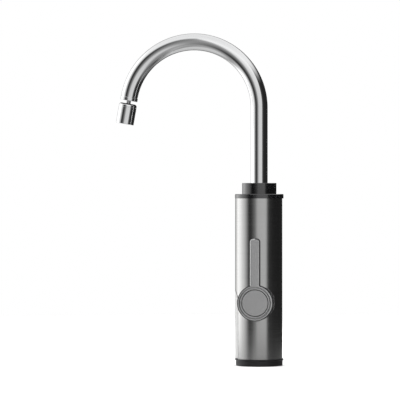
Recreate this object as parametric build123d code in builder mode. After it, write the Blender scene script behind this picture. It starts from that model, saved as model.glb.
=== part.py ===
from build123d import *
import math
import os

# Electric instant water heater tap, in millimetres. The origin is the centre of the underside, on the
# axis that the spout swivels about, with +Z up. The spout reaches towards -X, and the lever stands on
# the -Y side.

# Clearances
FIT = 0.05  # radial play of a push fit or a running fit
SLIP = 0.15  # play of a cover that slides on
LOOSE = 0.3  # play between pieces that must never touch
SEAM = 0.25  # open line between two outer pieces

# Casing
CASING_DIAMETER = 56.5
CASING_WALL = 0.8
CASING_LENGTH = 191.8
CASING_OFFSET = 0.6  # the casing stands this much nearer the spout's tip than the swivel axis
RIM_OVERHANG = 0.85  # how far the base lip and the top flange stand out past the casing
SPIGOT_HEIGHT = 5.8  # how far base and flange reach into the casing
SPIGOT_WALL = 2.0

# Base
BASE_INSET = 0.25  # how far the foot stands in from the casing's outside
BASE_RING_HEIGHT = 6.0
BASE_LIP_HEIGHT = 2.2
BASE_FLOOR = 5.0
BASE_EDGE = 0.8  # rounding of the foot's lower edge
LIP_FLARE = 0.9  # slope under the lip
SEAL_EDGE = 0.8  # foot left outside the rubber seal
SEAL_WIDTH = 1.7
SEAL_DEPTH = 1.2

# Top flange
FLANGE_THICKNESS = 5.2
FLANGE_EDGE = 0.6
ROD_COVER = 1.5  # flange left above the rods' ends
ROD_BOSS_RADIUS = 3.0

# Front panel
PANEL_HALF_ANGLE = 37.3  # degrees round the casing from -X
PANEL_TOP = 92.0
PANEL_CORNER = 14.0
PANEL_GAP = 0.4  # open line between the panel and the casing
PANEL_BACKING = 1.1  # thickness of the rim behind the casing
PANEL_RIM = 1.5  # how far that rim reaches past the window

# Supply
THREAD_RADIUS = 9.315  # minor radius of the G1/2 thread
THREAD_LENGTH = 12.0
SOCKET_WALL = 2.7
SOCKET_ROOF = 2.2  # brass between the filter and the socket's top
SOCKET_FLANGE_RADIUS = 17.8
SOCKET_FLANGE = 3.5
NIPPLE_LENGTH = 6.0
NIPPLE_WALL = 1.95
FILTER_RADIUS = 8.45
FILTER_THICKNESS = 0.8
FILTER_HOLE = 0.8
PIPE_RADIUS = 8.0
PIPE_BORE = 6.5
PIPE_UPPER_BORE = 4.5
SEAL_CORD = 1.6  # height of the grooves of the ring seals

# Flow float
FLOAT_RADIUS = 6.1
FLOAT_LENGTH = 12.0
FLOAT_TRAVEL = 6.0
FLOAT_FLUTE = 1.1
MAGNET_RADIUS = 2.9
MAGNET_LENGTH = 7.0
REED_RADIUS = 1.5
REED_LENGTH = 14.0
CLIP_WALL = 2.0
CLIP_HEIGHT = 8.0
CLIP_MOUTH = 8.0  # open width of the clip where it snaps on

# Cable hole
CABLE_RADIUS = 3.5
GROMMET_WALL = 1.4
GROMMET_LIP = 0.8

# Screws, rods and nuts
SCREW_RADIUS = 1.5
SCREW_HEAD_RADIUS = 2.8
SCREW_HEAD = 2.0
SCREW_LENGTH = 5.7
SCREW_EDGE = 2.3  # from a screw's axis to the edge of the socket's flange
SMALL_SCREW_RADIUS = 1.25
SMALL_SCREW_HEAD_RADIUS = 1.9
SMALL_SCREW_HEAD = 1.8
LID_SCREW_LENGTH = 14.7
ROD_RADIUS = 1.5
ROD_ANGLES = (45, 225)
SOCKET_SCREW_ANGLES = (60, 180, 300)
LID_SCREW_ANGLES = (45, 135, 225, 315)
NUT_RADIUS = 3.175
NUT_THICKNESS = 2.4
NUT_SINK = 0.6

# Handle
HANDLE_HEIGHT = 75.9  # height of the lever's axis
HANDLE_FRONT = 40.0  # distance of the lever's face from the swivel axis
HUB_DIAMETER = 43.0
HUB_THICKNESS = 7.5
HUB_RIM = 3.2  # face of the hub outside the cap
HUB_GAP = 0.5  # open line between the turning hub and the boss
HUB_EDGE = 1.3
ARM_LENGTH = 76.2
ARM_WIDTH = 11.8
ARM_THICKNESS = 5.5
ARM_CORNER = 3.8
CAP_THICKNESS = 3.2
CAP_GAP = 0.5  # open line between the cap and the hub
CAP_BORDER = 1.7  # from the cap's edge to its groove
CAP_GROOVE_WIDTH = 0.8
CAP_GROOVE_DEPTH = 1.2
BOSS_INSET = 0.1  # how far the boss stands in from the hub
BOSS_EDGE = 0.5
BOSS_TAIL_WALL = 1.6
BOSS_GRIP = 1.5  # how far the boss slides over the valve
DRIVE_RADIUS = 6.5
DRIVE_LENGTH = 4.3
DRIVE_SQUARE = 5.6
DRIVE_WEB = 1.6  # hub left between the square and the cap
HANDLE_SCREW_RADIUS = 2.0
HANDLE_SCREW_HEAD_RADIUS = 3.5
HANDLE_SCREW_HEAD = 1.8
HANDLE_SCREW_LENGTH = 9.0
HANDLE_SCREW_KEY = 1.2

# Valve and cartridge
VALVE_RADIUS = 17.0
VALVE_NECK_RADIUS = 11.0
VALVE_NECK_LENGTH = 7.0
PIPE_SOCKET_DEPTH = 10.0
INLET_BORE = 2.6
CHAMBER_FLOOR = 0.9  # brass between the inlet bore and the chamber
CHAMBER_RADIUS = 11.0
CHAMBER_WALL = 2.0
PORT_RADIUS = 1.9
PORT_LAND = 1.3  # disc left outside the ports
PORT_BACK = 6.0  # how far behind the swivel axis the ports turn
CHANNEL_RADIUS = 1.7
SEAT_THICKNESS = 1.2
FIXED_DISC = 4.0
MOVING_DISC = 3.5
SLOT_DEPTH = 1.6
SPINDLE_FLANGE = 2.8
SPINDLE_RADIUS = 4.0
TONGUE_LENGTH = 12.0
TONGUE_WIDTH = 3.0
TONGUE_HEIGHT = 1.4
SLEEVE_WALL = 1.4
SLEEVE_END = 1.8
SLEEVE_NECK_RADIUS = 7.0
SLEEVE_NECK_LENGTH = 10.5
NUT_THREAD = 2.6  # length of the cartridge nut inside the valve
NUT_HEX_RADIUS = 12.6
NUT_HEX_LENGTH = 4.0

# Cold bypass
BYPASS_RADIUS = 2.5
BYPASS_WALL = 0.8
BYPASS_SOCKET = 6.0
BYPASS_SEAT = 2.5  # from the channel's axis to the pipe's end
BYPASS_LEDGE = 0.4
WEB_WIDTH = 7.0

# Heater
HEATER_WALL = 4.0
HEATER_FLOOR = 3.0
HEATER_SPIGOT_RADIUS = 4.0
HEATER_SPIGOT_LENGTH = 6.0
LID_THICKNESS = 5.0
LID_PLUG = 4.0
LID_OUTLET_RADIUS = 5.0
LID_OUTLET_BORE = 3.5
LID_OUTLET_LENGTH = 15.5
ELEMENT_RADIUS = 3.2
ELEMENT_GAP = 2.4  # water between the element and the cup's wall
ELEMENT_FOOT = 4.0  # water under the element
ELEMENT_HEAD = 3.0  # water over its upper bend
ELEMENT_BEND = 0.98  # bend radius as a share of half the way across, so that a short straight stays
ELEMENT_STAND = 5.0  # length of its cold ends above the lid
TERMINAL_WIDTH = 6.0
TERMINAL_THICKNESS = 0.8
TERMINAL_LENGTH = 7.0
CUTOUT_RADIUS = 6.0
CUTOUT_HEIGHT = 7.0
CUTOUT_RIM = 1.0
STRIP_THICKNESS = 0.8

# Electronics behind the panel
UPRIGHT_THICKNESS = 2.0
UPRIGHT_HALF_WIDTH = 12.0
UPRIGHT_GAP = 2.95  # room between the bracket and the heater
FOOT_HALF_WIDTH = 6.0
FOOT_THICKNESS = 2.5
BOARD_THICKNESS = 1.6
BOARD_BOTTOM = 16.0
BOARD_SCREW_EDGE = 4.0
MODULE_DEPTH = 2.3
MODULE_HALF_WIDTH = 8.5
MODULE_HEIGHT = 24.0
MODULE_DROP = 4.0  # from the board's top to the module's top
BLOCK_HALF_WIDTH = 11.0
BLOCK_HEIGHT = 16.0
BLOCK_GAP = 2.0  # room between the terminal block and the valve
BLOCK_POLES = 3
WIRE_RADIUS = 2.0

# Swivel and collar
COLLAR_DIAMETER = 41.2
COLLAR_HEIGHT = 13.2
COLLAR_LIP = 2.4
NECK_RADIUS = 13.0
NECK_WALL = 0.7  # beside the counterbore of the thrust ring
SHOULDER_RADIUS = 16.0
SHOULDER_HEIGHT = 6.0
MANIFOLD_RADIUS = 12.0
MANIFOLD_FOOT_RADIUS = 8.0
MANIFOLD_GRIP = 7.5  # how far the manifold slides over the heater's outlet
MANIFOLD_ARM_GAP = 1.2  # from the arm to the flange's spigot
MANIFOLD_FOOT_LENGTH = 6.0  # below the arm
MANIFOLD_ARM_HEIGHT = 9.0
MANIFOLD_BORE = 6.0
STEM_RADIUS = 9.0
STEM_BORE = 6.0
STEM_LENGTH = 17.5  # below its shoulder
STEM_SHOULDER = 3.0
STEM_INSERT = 12.0  # length inside the spout tube
LOWER_BUSH = 3.0
UPPER_BUSH = 2.0
STEM_SEAL_STEPS = (5.0, 10.5)  # heights of the stem's two grooves above its lower end

# Spout
TUBE_DIAMETER = 20.2
TUBE_WALL = 1.0
ARC_HEIGHT = 308.6  # height of the bend's centre
ARC_RADIUS = 79.6
ARC_SWEEP = 170.0

# Outlet head, with distances along the outlet's axis from the end of the tube
END_RING_STEP = 0.3  # how far the end ring stands out past the tube
END_RING_LENGTH = 4.5
END_RING_SEAM = 0.4
END_PLUG_LENGTH = 8.0
STUD_SHANK_RADIUS = 3.4
STUD_NECK_RADIUS = 2.65
STUD_BORE = 1.6
BALL_RADIUS = 6.8
BALL_CENTRE = 15.5
BALL_FLAT = 5.5
BALL_SEAT_WALL = 1.35
SEAT_FROM = 56.0  # degrees from the neck to the seat's upper edge
SEAT_TO = 115.0
TILT_RANGE = 15.0
SKIRT_WALL = 1.15
HEAD_WALL = 1.3
HEAD_START = 8.0
HEAD_LENGTH = 25.0
HEAD_SHOULDER = 2.9
HEAD_EDGE = 0.4
CAP_RING_LENGTH = 4.1
CAP_HOLE = 5.2
INSERT_WALL = 1.9
INSERT_SINK = 2.0  # from the head's end to the insert
WASHER_THICKNESS = 1.5
SCREEN_THICKNESS = 0.6
SCREEN_HOLE = 0.9
SCREEN_PITCH = 1.45
SCREEN_COUNT = 7
INSERT_LENGTH = 6.5
INSERT_CELL = 0.9
INSERT_PITCH = 1.2

# Worked-out sizes of the casing and the base
casing_radius = CASING_DIAMETER / 2
casing_bore = casing_radius - CASING_WALL
casing_bottom = BASE_RING_HEIGHT + BASE_LIP_HEIGHT
casing_top = casing_bottom + CASING_LENGTH
rim_radius = casing_radius + RIM_OVERHANG
base_radius = casing_radius - BASE_INSET
flange_top = casing_top + FLANGE_THICKNESS
spigot_radius = casing_bore - SLIP
spigot_bore = spigot_radius - SPIGOT_WALL
near_bore = casing_bore - CASING_OFFSET
near_spigot = spigot_bore - CASING_OFFSET
seal_outer = base_radius - SEAL_EDGE
seal_inner = seal_outer - SEAL_WIDTH
head_sink = SCREW_HEAD + SLIP
head_pocket = SCREW_HEAD_RADIUS + LOOSE
nut_pocket = NUT_RADIUS + LOOSE
rod_circle = seal_inner - nut_pocket - FIT
rod_top = flange_top - ROD_COVER

# Worked-out sizes of the supply
socket_radius = THREAD_RADIUS + SOCKET_WALL
socket_top = THREAD_LENGTH + FILTER_THICKNESS + SOCKET_ROOF
nipple_radius = PIPE_BORE - FIT
float_bottom = socket_top + NIPPLE_LENGTH
float_stop = float_bottom + FLOAT_LENGTH + FLOAT_TRAVEL + LOOSE
grommet_radius = CABLE_RADIUS + GROMMET_WALL
grommet_rim = grommet_radius + GROMMET_LIP
cable_place = (near_spigot - grommet_rim - SLIP, 0)
clip_radius = PIPE_RADIUS + FIT + CLIP_WALL

# Worked-out sizes of the valve, by distance from the swivel axis towards the lever
chamber_floor = INLET_BORE + CHAMBER_FLOOR
chamber_outer = CHAMBER_RADIUS + CHAMBER_WALL
fixed_disc_start = chamber_floor + SEAT_THICKNESS
moving_disc_start = fixed_disc_start + FIXED_DISC
spindle_start = moving_disc_start + MOVING_DISC
spindle_shoulder = spindle_start + SPINDLE_FLANGE
sleeve_shoulder = spindle_shoulder + SLIP
sleeve_end = sleeve_shoulder + SLEEVE_END
chamber_mouth = sleeve_end + NUT_THREAD
liner_radius = CHAMBER_RADIUS - FIT
sleeve_bore = liner_radius - SLEEVE_WALL
disc_radius = sleeve_bore - LOOSE
port_offset = disc_radius - PORT_RADIUS - PORT_LAND
boss_bore = chamber_outer + SLIP
boss_tail_radius = boss_bore + BOSS_TAIL_WALL
boss_start = chamber_mouth - BOSS_GRIP

# Worked-out sizes of the handle
hub_radius = HUB_DIAMETER / 2
hub_back = HANDLE_FRONT - HUB_THICKNESS
boss_front = hub_back - HUB_GAP
drive_start = hub_back - DRIVE_LENGTH
cap_floor = HANDLE_FRONT - CAP_THICKNESS
cap_radius = hub_radius - HUB_RIM - CAP_GAP
drive_end = cap_floor - DRIVE_WEB
spindle_end = drive_end - SLIP

# Worked-out heights of the valve, the heater and the manifold
valve_half = boss_tail_radius + LOOSE
valve_bottom = HANDLE_HEIGHT - valve_half
valve_top = HANDLE_HEIGHT + valve_half
neck_bottom = valve_bottom - VALVE_NECK_LENGTH
pipe_top = neck_bottom + PIPE_SOCKET_DEPTH
upright_top = valve_top - UPRIGHT_GAP
heater_radius = rod_circle - ROD_RADIUS - LOOSE
heater_bore = heater_radius - HEATER_WALL
arm_top = casing_top - SPIGOT_HEIGHT - MANIFOLD_ARM_GAP
arm_bottom = arm_top - MANIFOLD_ARM_HEIGHT
manifold_bottom = arm_bottom - MANIFOLD_FOOT_LENGTH
outlet_top = manifold_bottom + MANIFOLD_GRIP
lid_top = outlet_top - LID_OUTLET_LENGTH
heater_top = lid_top - LID_THICKNESS
neck_top = flange_top + COLLAR_HEIGHT - COLLAR_LIP - UPPER_BUSH
shoulder_bottom = neck_top - FIT - STEM_SHOULDER
bush_floor = shoulder_bottom - LOWER_BUSH
stem_bottom = shoulder_bottom - STEM_LENGTH
stem_floor = stem_bottom - LOOSE
counterbore = NECK_RADIUS - NECK_WALL

# Worked-out places of the cold bypass, beside the heater
bypass_circle = heater_radius + BYPASS_RADIUS + SLIP
bypass_x = math.sqrt(bypass_circle**2 - PORT_BACK**2)
bypass_lug = near_bore - bypass_circle - SLIP
bypass_bottom = HANDLE_HEIGHT + BYPASS_SEAT
bypass_turn = arm_bottom + BYPASS_SOCKET
web_front = PORT_BACK - WEB_WIDTH / 2
web_back = PORT_BACK + WEB_WIDTH / 2

# Worked-out sizes of the outlet head
tube_radius = TUBE_DIAMETER / 2
tube_bore = tube_radius - TUBE_WALL
tube_sag = END_PLUG_LENGTH**2 / (2 * ARC_RADIUS)  # how far the bent tube leaves its end's axis
seat_inner = BALL_RADIUS + FIT
seat_outer = seat_inner + BALL_SEAT_WALL
pocket_radius = seat_outer + FIT
pocket_from = math.degrees(math.asin(CAP_HOLE / pocket_radius))
pocket_to = SEAT_TO + TILT_RANGE
skirt_radius = pocket_radius + SKIRT_WALL
head_radius = skirt_radius + HEAD_WALL
head_end = HEAD_START + HEAD_LENGTH
cap_ring_end = HEAD_START + CAP_RING_LENGTH
insert_bore = head_radius - INSERT_WALL
insert_radius = insert_bore - FIT
insert_start = head_end - INSERT_SINK - INSERT_LENGTH
screen_start = insert_start - SCREEN_THICKNESS
washer_start = screen_start - WASHER_THICKNESS

sweep_angle = math.radians(ARC_SWEEP)
outlet_end = Vector(
    ARC_RADIUS * (math.cos(sweep_angle) - 1),
    0,
    ARC_HEIGHT + ARC_RADIUS * math.sin(sweep_angle),
)
outlet_direction = Vector(-math.sin(sweep_angle), 0, math.cos(sweep_angle))
outlet_across = Vector(-math.cos(sweep_angle), 0, -math.sin(sweep_angle))


# Planes to build on
def level(height):
    """A level plane centred on the swivel axis."""
    return Plane.XY.offset(height)


def casing_level(height):
    """A level plane centred on the casing's own axis."""
    return Plane(origin=(-CASING_OFFSET, 0, height))


def lever(distance):
    """An upright plane across the lever's axis; its own Y runs upwards."""
    return Plane(origin=(0, -distance, HANDLE_HEIGHT), x_dir=(1, 0, 0), z_dir=(0, -1, 0))


def outwards(x, z=0):
    """An upright plane that faces the front panel; its own Y runs upwards."""
    return Plane(origin=(x, 0, z), x_dir=(0, -1, 0), z_dir=(-1, 0, 0))


def inwards(x, y, z):
    """An upright plane that faces +X; its own X runs along +Y."""
    return Plane(origin=(x, y, z), x_dir=(0, 1, 0), z_dir=(1, 0, 0))


def outlet(distance):
    """A plane across the outlet's axis, facing the way the water leaves."""
    origin = outlet_end + outlet_direction * distance
    return Plane(origin=origin, x_dir=outlet_across, z_dir=outlet_direction)


outlet_section = Plane(origin=outlet_end, x_dir=outlet_across, z_dir=(0, -1, 0))
outlet_axis = Axis(outlet_end, outlet_direction)


# Steps that many pieces share
def disc(plane, radius, height, mode=Mode.ADD):
    """A round step that rises from a plane."""
    with BuildSketch(plane) as profile:
        Circle(radius)
    extrude(profile.sketch, amount=height, mode=mode)


def discs(plane, places, radius, height, mode=Mode.ADD):
    """Equal round steps at a list of places on a plane."""
    with BuildSketch(plane) as profile:
        with Locations(*places):
            Circle(radius)
    extrude(profile.sketch, amount=height, mode=mode)


def ring(plane, outer, inner, height, mode=Mode.ADD):
    """A round step with a bore."""
    with BuildSketch(plane) as profile:
        Circle(outer)
        Circle(inner, mode=Mode.SUBTRACT)
    extrude(profile.sketch, amount=height, mode=mode)


def block(plane, x_from, x_to, y_from, y_to, height, mode=Mode.ADD):
    """A square-edged step given by its sides on a plane."""
    with BuildSketch(plane) as profile:
        with Locations(((x_from + x_to) / 2, (y_from + y_to) / 2)):
            Rectangle(x_to - x_from, y_to - y_from)
    extrude(profile.sketch, amount=height, mode=mode)


def seal_ring(height, middle, thickness):
    """A ring of round rubber cord that lies at a height, by the radius of its middle."""
    with BuildSketch(Plane.XZ) as profile:
        with Locations((middle, height + thickness / 2)):
            Circle(thickness / 2)
    revolve(profile.sketch, axis=Axis.Z)


def around(radius, angle):
    """A place on a circle about the swivel axis."""
    turned = math.radians(angle)
    return (radius * math.cos(turned), radius * math.sin(turned))


# Places of the fasteners in the base
rod_places = [around(rod_circle, angle) for angle in ROD_ANGLES]
socket_screw_places = [around(SOCKET_FLANGE_RADIUS - SCREW_EDGE, angle) for angle in SOCKET_SCREW_ANGLES]
foot_screw_place = (FIT + head_pocket - seal_inner, 0)
base_screw_places = socket_screw_places + [foot_screw_place]

# Base ring, with the floor that everything stands on
with BuildPart() as base_ring:
    disc(level(0), base_radius, BASE_RING_HEIGHT)
    fillet(base_ring.edges().sort_by(Axis.Z)[0], BASE_EDGE)
    with BuildSketch(Plane.XZ) as lip:
        with BuildLine():
            Polyline(
                (0, BASE_RING_HEIGHT),
                (rim_radius - LIP_FLARE, BASE_RING_HEIGHT),
                (rim_radius, BASE_RING_HEIGHT + LIP_FLARE),
                (rim_radius, casing_bottom),
                (0, casing_bottom),
                close=True,
            )
        make_face()
    revolve(axis=Axis.Z)
    disc(casing_level(casing_bottom), spigot_radius, SPIGOT_HEIGHT)
    disc(casing_level(BASE_FLOOR), spigot_bore, casing_bottom + SPIGOT_HEIGHT, Mode.SUBTRACT)
    ring(level(0), seal_outer, seal_inner, SEAL_DEPTH, Mode.SUBTRACT)
    disc(level(0), socket_radius + FIT, BASE_FLOOR, Mode.SUBTRACT)
    discs(level(0), [cable_place], grommet_radius, BASE_FLOOR, Mode.SUBTRACT)
    discs(level(0), [cable_place], grommet_rim, GROMMET_LIP, Mode.SUBTRACT)
    discs(level(0), base_screw_places, SCREW_RADIUS + FIT, BASE_FLOOR, Mode.SUBTRACT)
    discs(level(0), base_screw_places, head_pocket, head_sink, Mode.SUBTRACT)
    discs(level(0), rod_places, ROD_RADIUS + FIT, BASE_FLOOR, Mode.SUBTRACT)
    discs(level(0), rod_places, nut_pocket, NUT_SINK + NUT_THICKNESS, Mode.SUBTRACT)
base_ring.part.label = "base_ring"

# Rubber ring let into the underside
with BuildPart() as base_seal:
    ring(level(0), seal_outer - FIT, seal_inner + FIT, SEAL_DEPTH)
base_seal.part.label = "base_seal"

# Rubber lining of the cable hole
with BuildPart() as cable_grommet:
    discs(level(FIT), [cable_place], grommet_rim - FIT, GROMMET_LIP - FIT)
    discs(level(FIT), [cable_place], grommet_radius - FIT, BASE_FLOOR)
    discs(level(BASE_FLOOR), [cable_place], grommet_rim - FIT, GROMMET_LIP)
    discs(level(0), [cable_place], CABLE_RADIUS, BASE_FLOOR + 2 * GROMMET_LIP, Mode.SUBTRACT)
cable_grommet.part.label = "cable_grommet"

# Threaded socket that the supply screws into, with the nipple that the riser slides over
nipple_groove = socket_top + SEAL_CORD

with BuildPart() as inlet_socket:
    disc(level(0), socket_radius, socket_top)
    disc(level(BASE_FLOOR), SOCKET_FLANGE_RADIUS, SOCKET_FLANGE)
    disc(level(socket_top), nipple_radius, NIPPLE_LENGTH)
    ring(level(nipple_groove), PIPE_BORE, nipple_radius - SEAL_CORD, SEAL_CORD, Mode.SUBTRACT)
    disc(level(0), THREAD_RADIUS, THREAD_LENGTH, Mode.SUBTRACT)
    disc(level(THREAD_LENGTH), FILTER_RADIUS + FIT, FILTER_THICKNESS, Mode.SUBTRACT)
    disc(level(THREAD_LENGTH), nipple_radius - NIPPLE_WALL, float_bottom - THREAD_LENGTH, Mode.SUBTRACT)
    discs(level(BASE_FLOOR), [cable_place], grommet_rim + LOOSE, SOCKET_FLANGE, Mode.SUBTRACT)
    discs(level(BASE_FLOOR), socket_screw_places, SCREW_RADIUS + FIT, SOCKET_FLANGE, Mode.SUBTRACT)
inlet_socket.part.label = "inlet_socket"

# Perforated disc above the thread
with BuildPart() as inlet_filter:
    disc(level(THREAD_LENGTH), FILTER_RADIUS, FILTER_THICKNESS)
    with BuildSketch(level(THREAD_LENGTH)):
        Circle(FILTER_HOLE)
        for row in (1, 2):
            with PolarLocations(3 * row * FILTER_HOLE, 6 * row):
                Circle(FILTER_HOLE)
    extrude(amount=FILTER_THICKNESS, mode=Mode.SUBTRACT)
inlet_filter.part.label = "inlet_filter"

with BuildPart() as base_screws:
    discs(level(head_sink - SCREW_HEAD), base_screw_places, SCREW_HEAD_RADIUS, SCREW_HEAD)
    discs(level(head_sink), base_screw_places, SCREW_RADIUS, SCREW_LENGTH)
base_screws.part.label = "base_screws"

# Long rods that clamp the casing between base and flange
with BuildPart() as tie_rods:
    discs(level(NUT_SINK), rod_places, ROD_RADIUS, rod_top - NUT_SINK)
tie_rods.part.label = "tie_rods"

with BuildPart() as tie_nuts:
    with BuildSketch(level(NUT_SINK)):
        with Locations(*rod_places):
            RegularPolygon(NUT_RADIUS, 6)
            Circle(ROD_RADIUS + FIT, mode=Mode.SUBTRACT)
    extrude(amount=NUT_THICKNESS)
tie_nuts.part.label = "tie_nuts"


def panel_outline(margin, bottom):
    """The front panel's outline, grown by a margin, as a sketch that faces -X."""
    half = casing_radius * math.sin(math.radians(PANEL_HALF_ANGLE)) + margin
    corner = PANEL_CORNER + margin
    top = PANEL_TOP + margin
    with BuildSketch(outwards(-CASING_OFFSET)) as outline:
        with BuildLine():
            Line((half - corner, top), (corner - half, top))
            RadiusArc((corner - half, top), (-half, top - corner), -corner)
            Polyline((-half, top - corner), (-half, bottom), (half, bottom), (half, top - corner))
            RadiusArc((half, top - corner), (half - corner, top), -corner)
        make_face()
    return outline.sketch


# Casing tube, with the window of the front panel and the hole of the handle
with BuildPart() as casing_shell:
    ring(casing_level(casing_bottom), casing_radius, casing_bore, CASING_LENGTH)
    extrude(panel_outline(0, 0), amount=CASING_DIAMETER, mode=Mode.SUBTRACT)
    disc(lever(chamber_outer), boss_tail_radius + SLIP, CASING_DIAMETER, Mode.SUBTRACT)
casing_shell.part.label = "casing_shell"

# Front panel: a flush plate with a rim that reaches behind the casing
rim_outer = casing_bore - FIT
rim_bottom = casing_bottom + SPIGOT_HEIGHT + SLIP

with BuildPart() as panel_rim:
    ring(casing_level(casing_bottom), rim_outer, rim_outer - PANEL_BACKING, CASING_LENGTH)
    extrude(panel_outline(PANEL_RIM, rim_bottom), amount=CASING_DIAMETER, mode=Mode.INTERSECT)

with BuildPart() as front_panel:
    ring(casing_level(casing_bottom), casing_radius, rim_outer, CASING_LENGTH)
    extrude(panel_outline(-PANEL_GAP, casing_bottom + SEAM), amount=CASING_DIAMETER, mode=Mode.INTERSECT)
    add(panel_rim.part)
front_panel.part.label = "front_panel"

# Upright that carries the display board, with its foot on the floor
upright_x = -(SOCKET_FLANGE_RADIUS + LOOSE)
board_x = upright_x - UPRIGHT_THICKNESS
board_face = board_x - BOARD_THICKNESS
foot_end = foot_screw_place[0] - SCREW_HEAD_RADIUS
module_bottom = upright_top - MODULE_DROP - MODULE_HEIGHT
board_screw_places = [
    (0, BOARD_BOTTOM + BOARD_SCREW_EDGE),
    (0, module_bottom - BOARD_SCREW_EDGE),
]

with BuildPart() as board_bracket:
    block(
        level(BASE_FLOOR),
        board_x,
        upright_x,
        -UPRIGHT_HALF_WIDTH,
        UPRIGHT_HALF_WIDTH,
        upright_top - BASE_FLOOR,
    )
    block(level(BASE_FLOOR), foot_end, board_x, -FOOT_HALF_WIDTH, FOOT_HALF_WIDTH, FOOT_THICKNESS)
    discs(level(BASE_FLOOR), [foot_screw_place], SCREW_RADIUS + FIT, FOOT_THICKNESS, Mode.SUBTRACT)
    discs(outwards(upright_x), board_screw_places, SMALL_SCREW_RADIUS + FIT, UPRIGHT_THICKNESS, Mode.SUBTRACT)
board_bracket.part.label = "board_bracket"

with BuildPart() as display_board:
    block(
        level(BOARD_BOTTOM),
        board_face,
        board_x,
        -UPRIGHT_HALF_WIDTH,
        UPRIGHT_HALF_WIDTH,
        upright_top - BOARD_BOTTOM,
    )
    discs(outwards(board_x), board_screw_places, SMALL_SCREW_RADIUS + FIT, BOARD_THICKNESS, Mode.SUBTRACT)
display_board.part.label = "display_board"

with BuildPart() as display_module:
    block(
        level(module_bottom),
        board_face - MODULE_DEPTH,
        board_face,
        -MODULE_HALF_WIDTH,
        MODULE_HALF_WIDTH,
        MODULE_HEIGHT,
    )
display_module.part.label = "display_module"

with BuildPart() as board_screws:
    board_screw_length = BOARD_THICKNESS + UPRIGHT_THICKNESS
    discs(outwards(board_face), board_screw_places, SMALL_SCREW_HEAD_RADIUS, SMALL_SCREW_HEAD)
    discs(outwards(board_face), board_screw_places, SMALL_SCREW_RADIUS, -board_screw_length)
board_screws.part.label = "board_screws"

# Mains terminals on the upright's inner side
block_front = -(clip_radius + LOOSE)
block_bottom = neck_bottom - BLOCK_GAP - BLOCK_HEIGHT
block_middle = (upright_x + block_front) / 2
pole_pitch = 2 * BLOCK_HALF_WIDTH / BLOCK_POLES
pole_steps = [(pole - (BLOCK_POLES - 1) / 2) * pole_pitch for pole in range(BLOCK_POLES)]
pole_places = [(block_middle, step) for step in pole_steps]
pole_screw_places = [(step, 0) for step in pole_steps]
pole_face = inwards(block_front, 0, block_bottom + BLOCK_HEIGHT / 4)
pole_depth = block_front - block_middle

with BuildPart() as terminal_block:
    block(level(block_bottom), upright_x, block_front, -BLOCK_HALF_WIDTH, BLOCK_HALF_WIDTH, BLOCK_HEIGHT)
    discs(level(block_bottom), pole_places, WIRE_RADIUS, BLOCK_HEIGHT / 2, Mode.SUBTRACT)
    discs(pole_face, pole_screw_places, SMALL_SCREW_RADIUS + FIT, -pole_depth, Mode.SUBTRACT)
terminal_block.part.label = "terminal_block"

with BuildPart() as terminal_screws:
    discs(pole_face, pole_screw_places, SMALL_SCREW_RADIUS, -pole_depth)
terminal_screws.part.label = "terminal_screws"

# Riser, with the flow float in its wide lower bore
with BuildPart() as supply_pipe:
    disc(level(socket_top), PIPE_RADIUS, pipe_top - socket_top)
    disc(level(socket_top), PIPE_BORE, float_stop - socket_top, Mode.SUBTRACT)
    disc(level(float_stop), PIPE_UPPER_BORE, pipe_top - float_stop, Mode.SUBTRACT)
supply_pipe.part.label = "supply_pipe"

valve_groove = valve_bottom - SEAL_CORD

with BuildPart() as supply_pipe_seals:
    seal_ring(nipple_groove, nipple_radius - SEAL_CORD / 2, SEAL_CORD - FIT)
    seal_ring(valve_groove, PIPE_RADIUS + SEAL_CORD / 2, SEAL_CORD - FIT)
supply_pipe_seals.part.label = "supply_pipe_seals"

magnet_bottom = float_bottom + FLOAT_LENGTH - MAGNET_LENGTH

with BuildPart() as flow_float:
    disc(level(float_bottom), FLOAT_RADIUS, FLOAT_LENGTH)
    with BuildSketch(level(float_bottom)):
        with PolarLocations(FLOAT_RADIUS, 4):
            Circle(FLOAT_FLUTE)
    extrude(amount=FLOAT_LENGTH, mode=Mode.SUBTRACT)
    disc(level(magnet_bottom), MAGNET_RADIUS + FIT, MAGNET_LENGTH, Mode.SUBTRACT)
flow_float.part.label = "flow_float"

with BuildPart() as float_magnet:
    disc(level(magnet_bottom), MAGNET_RADIUS, MAGNET_LENGTH)
float_magnet.part.label = "float_magnet"

# Clip on the riser that holds the reed switch where the raised magnet comes
clip_bottom = float_bottom + FLOAT_TRAVEL
reed_place = (0, clip_radius + REED_RADIUS)
reed_bottom = clip_bottom + (CLIP_HEIGHT - REED_LENGTH) / 2

with BuildPart() as reed_clip:
    clip_half = REED_RADIUS + CLIP_WALL
    disc(level(clip_bottom), clip_radius, CLIP_HEIGHT)
    block(level(clip_bottom), -clip_half, clip_half, 0, reed_place[1] + clip_half, CLIP_HEIGHT)
    disc(level(clip_bottom), PIPE_RADIUS + FIT, CLIP_HEIGHT, Mode.SUBTRACT)
    block(level(clip_bottom), -CLIP_MOUTH / 2, CLIP_MOUTH / 2, -clip_radius, 0, CLIP_HEIGHT, Mode.SUBTRACT)
    discs(level(clip_bottom), [reed_place], REED_RADIUS + FIT, CLIP_HEIGHT, Mode.SUBTRACT)
reed_clip.part.label = "reed_clip"

with BuildPart() as reed_switch:
    discs(level(reed_bottom), [reed_place], REED_RADIUS, REED_LENGTH)
reed_switch.part.label = "reed_switch"

# Valve body with the cartridge's chamber: cold water comes up the middle, leaves upwards through the heater
# on the -X side and sideways to the bypass on the +X side
port_places = [(-port_offset, 0), (port_offset, 0)]
hot_place = (-port_offset, PORT_BACK)
cold_place = (bypass_x, PORT_BACK)

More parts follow.
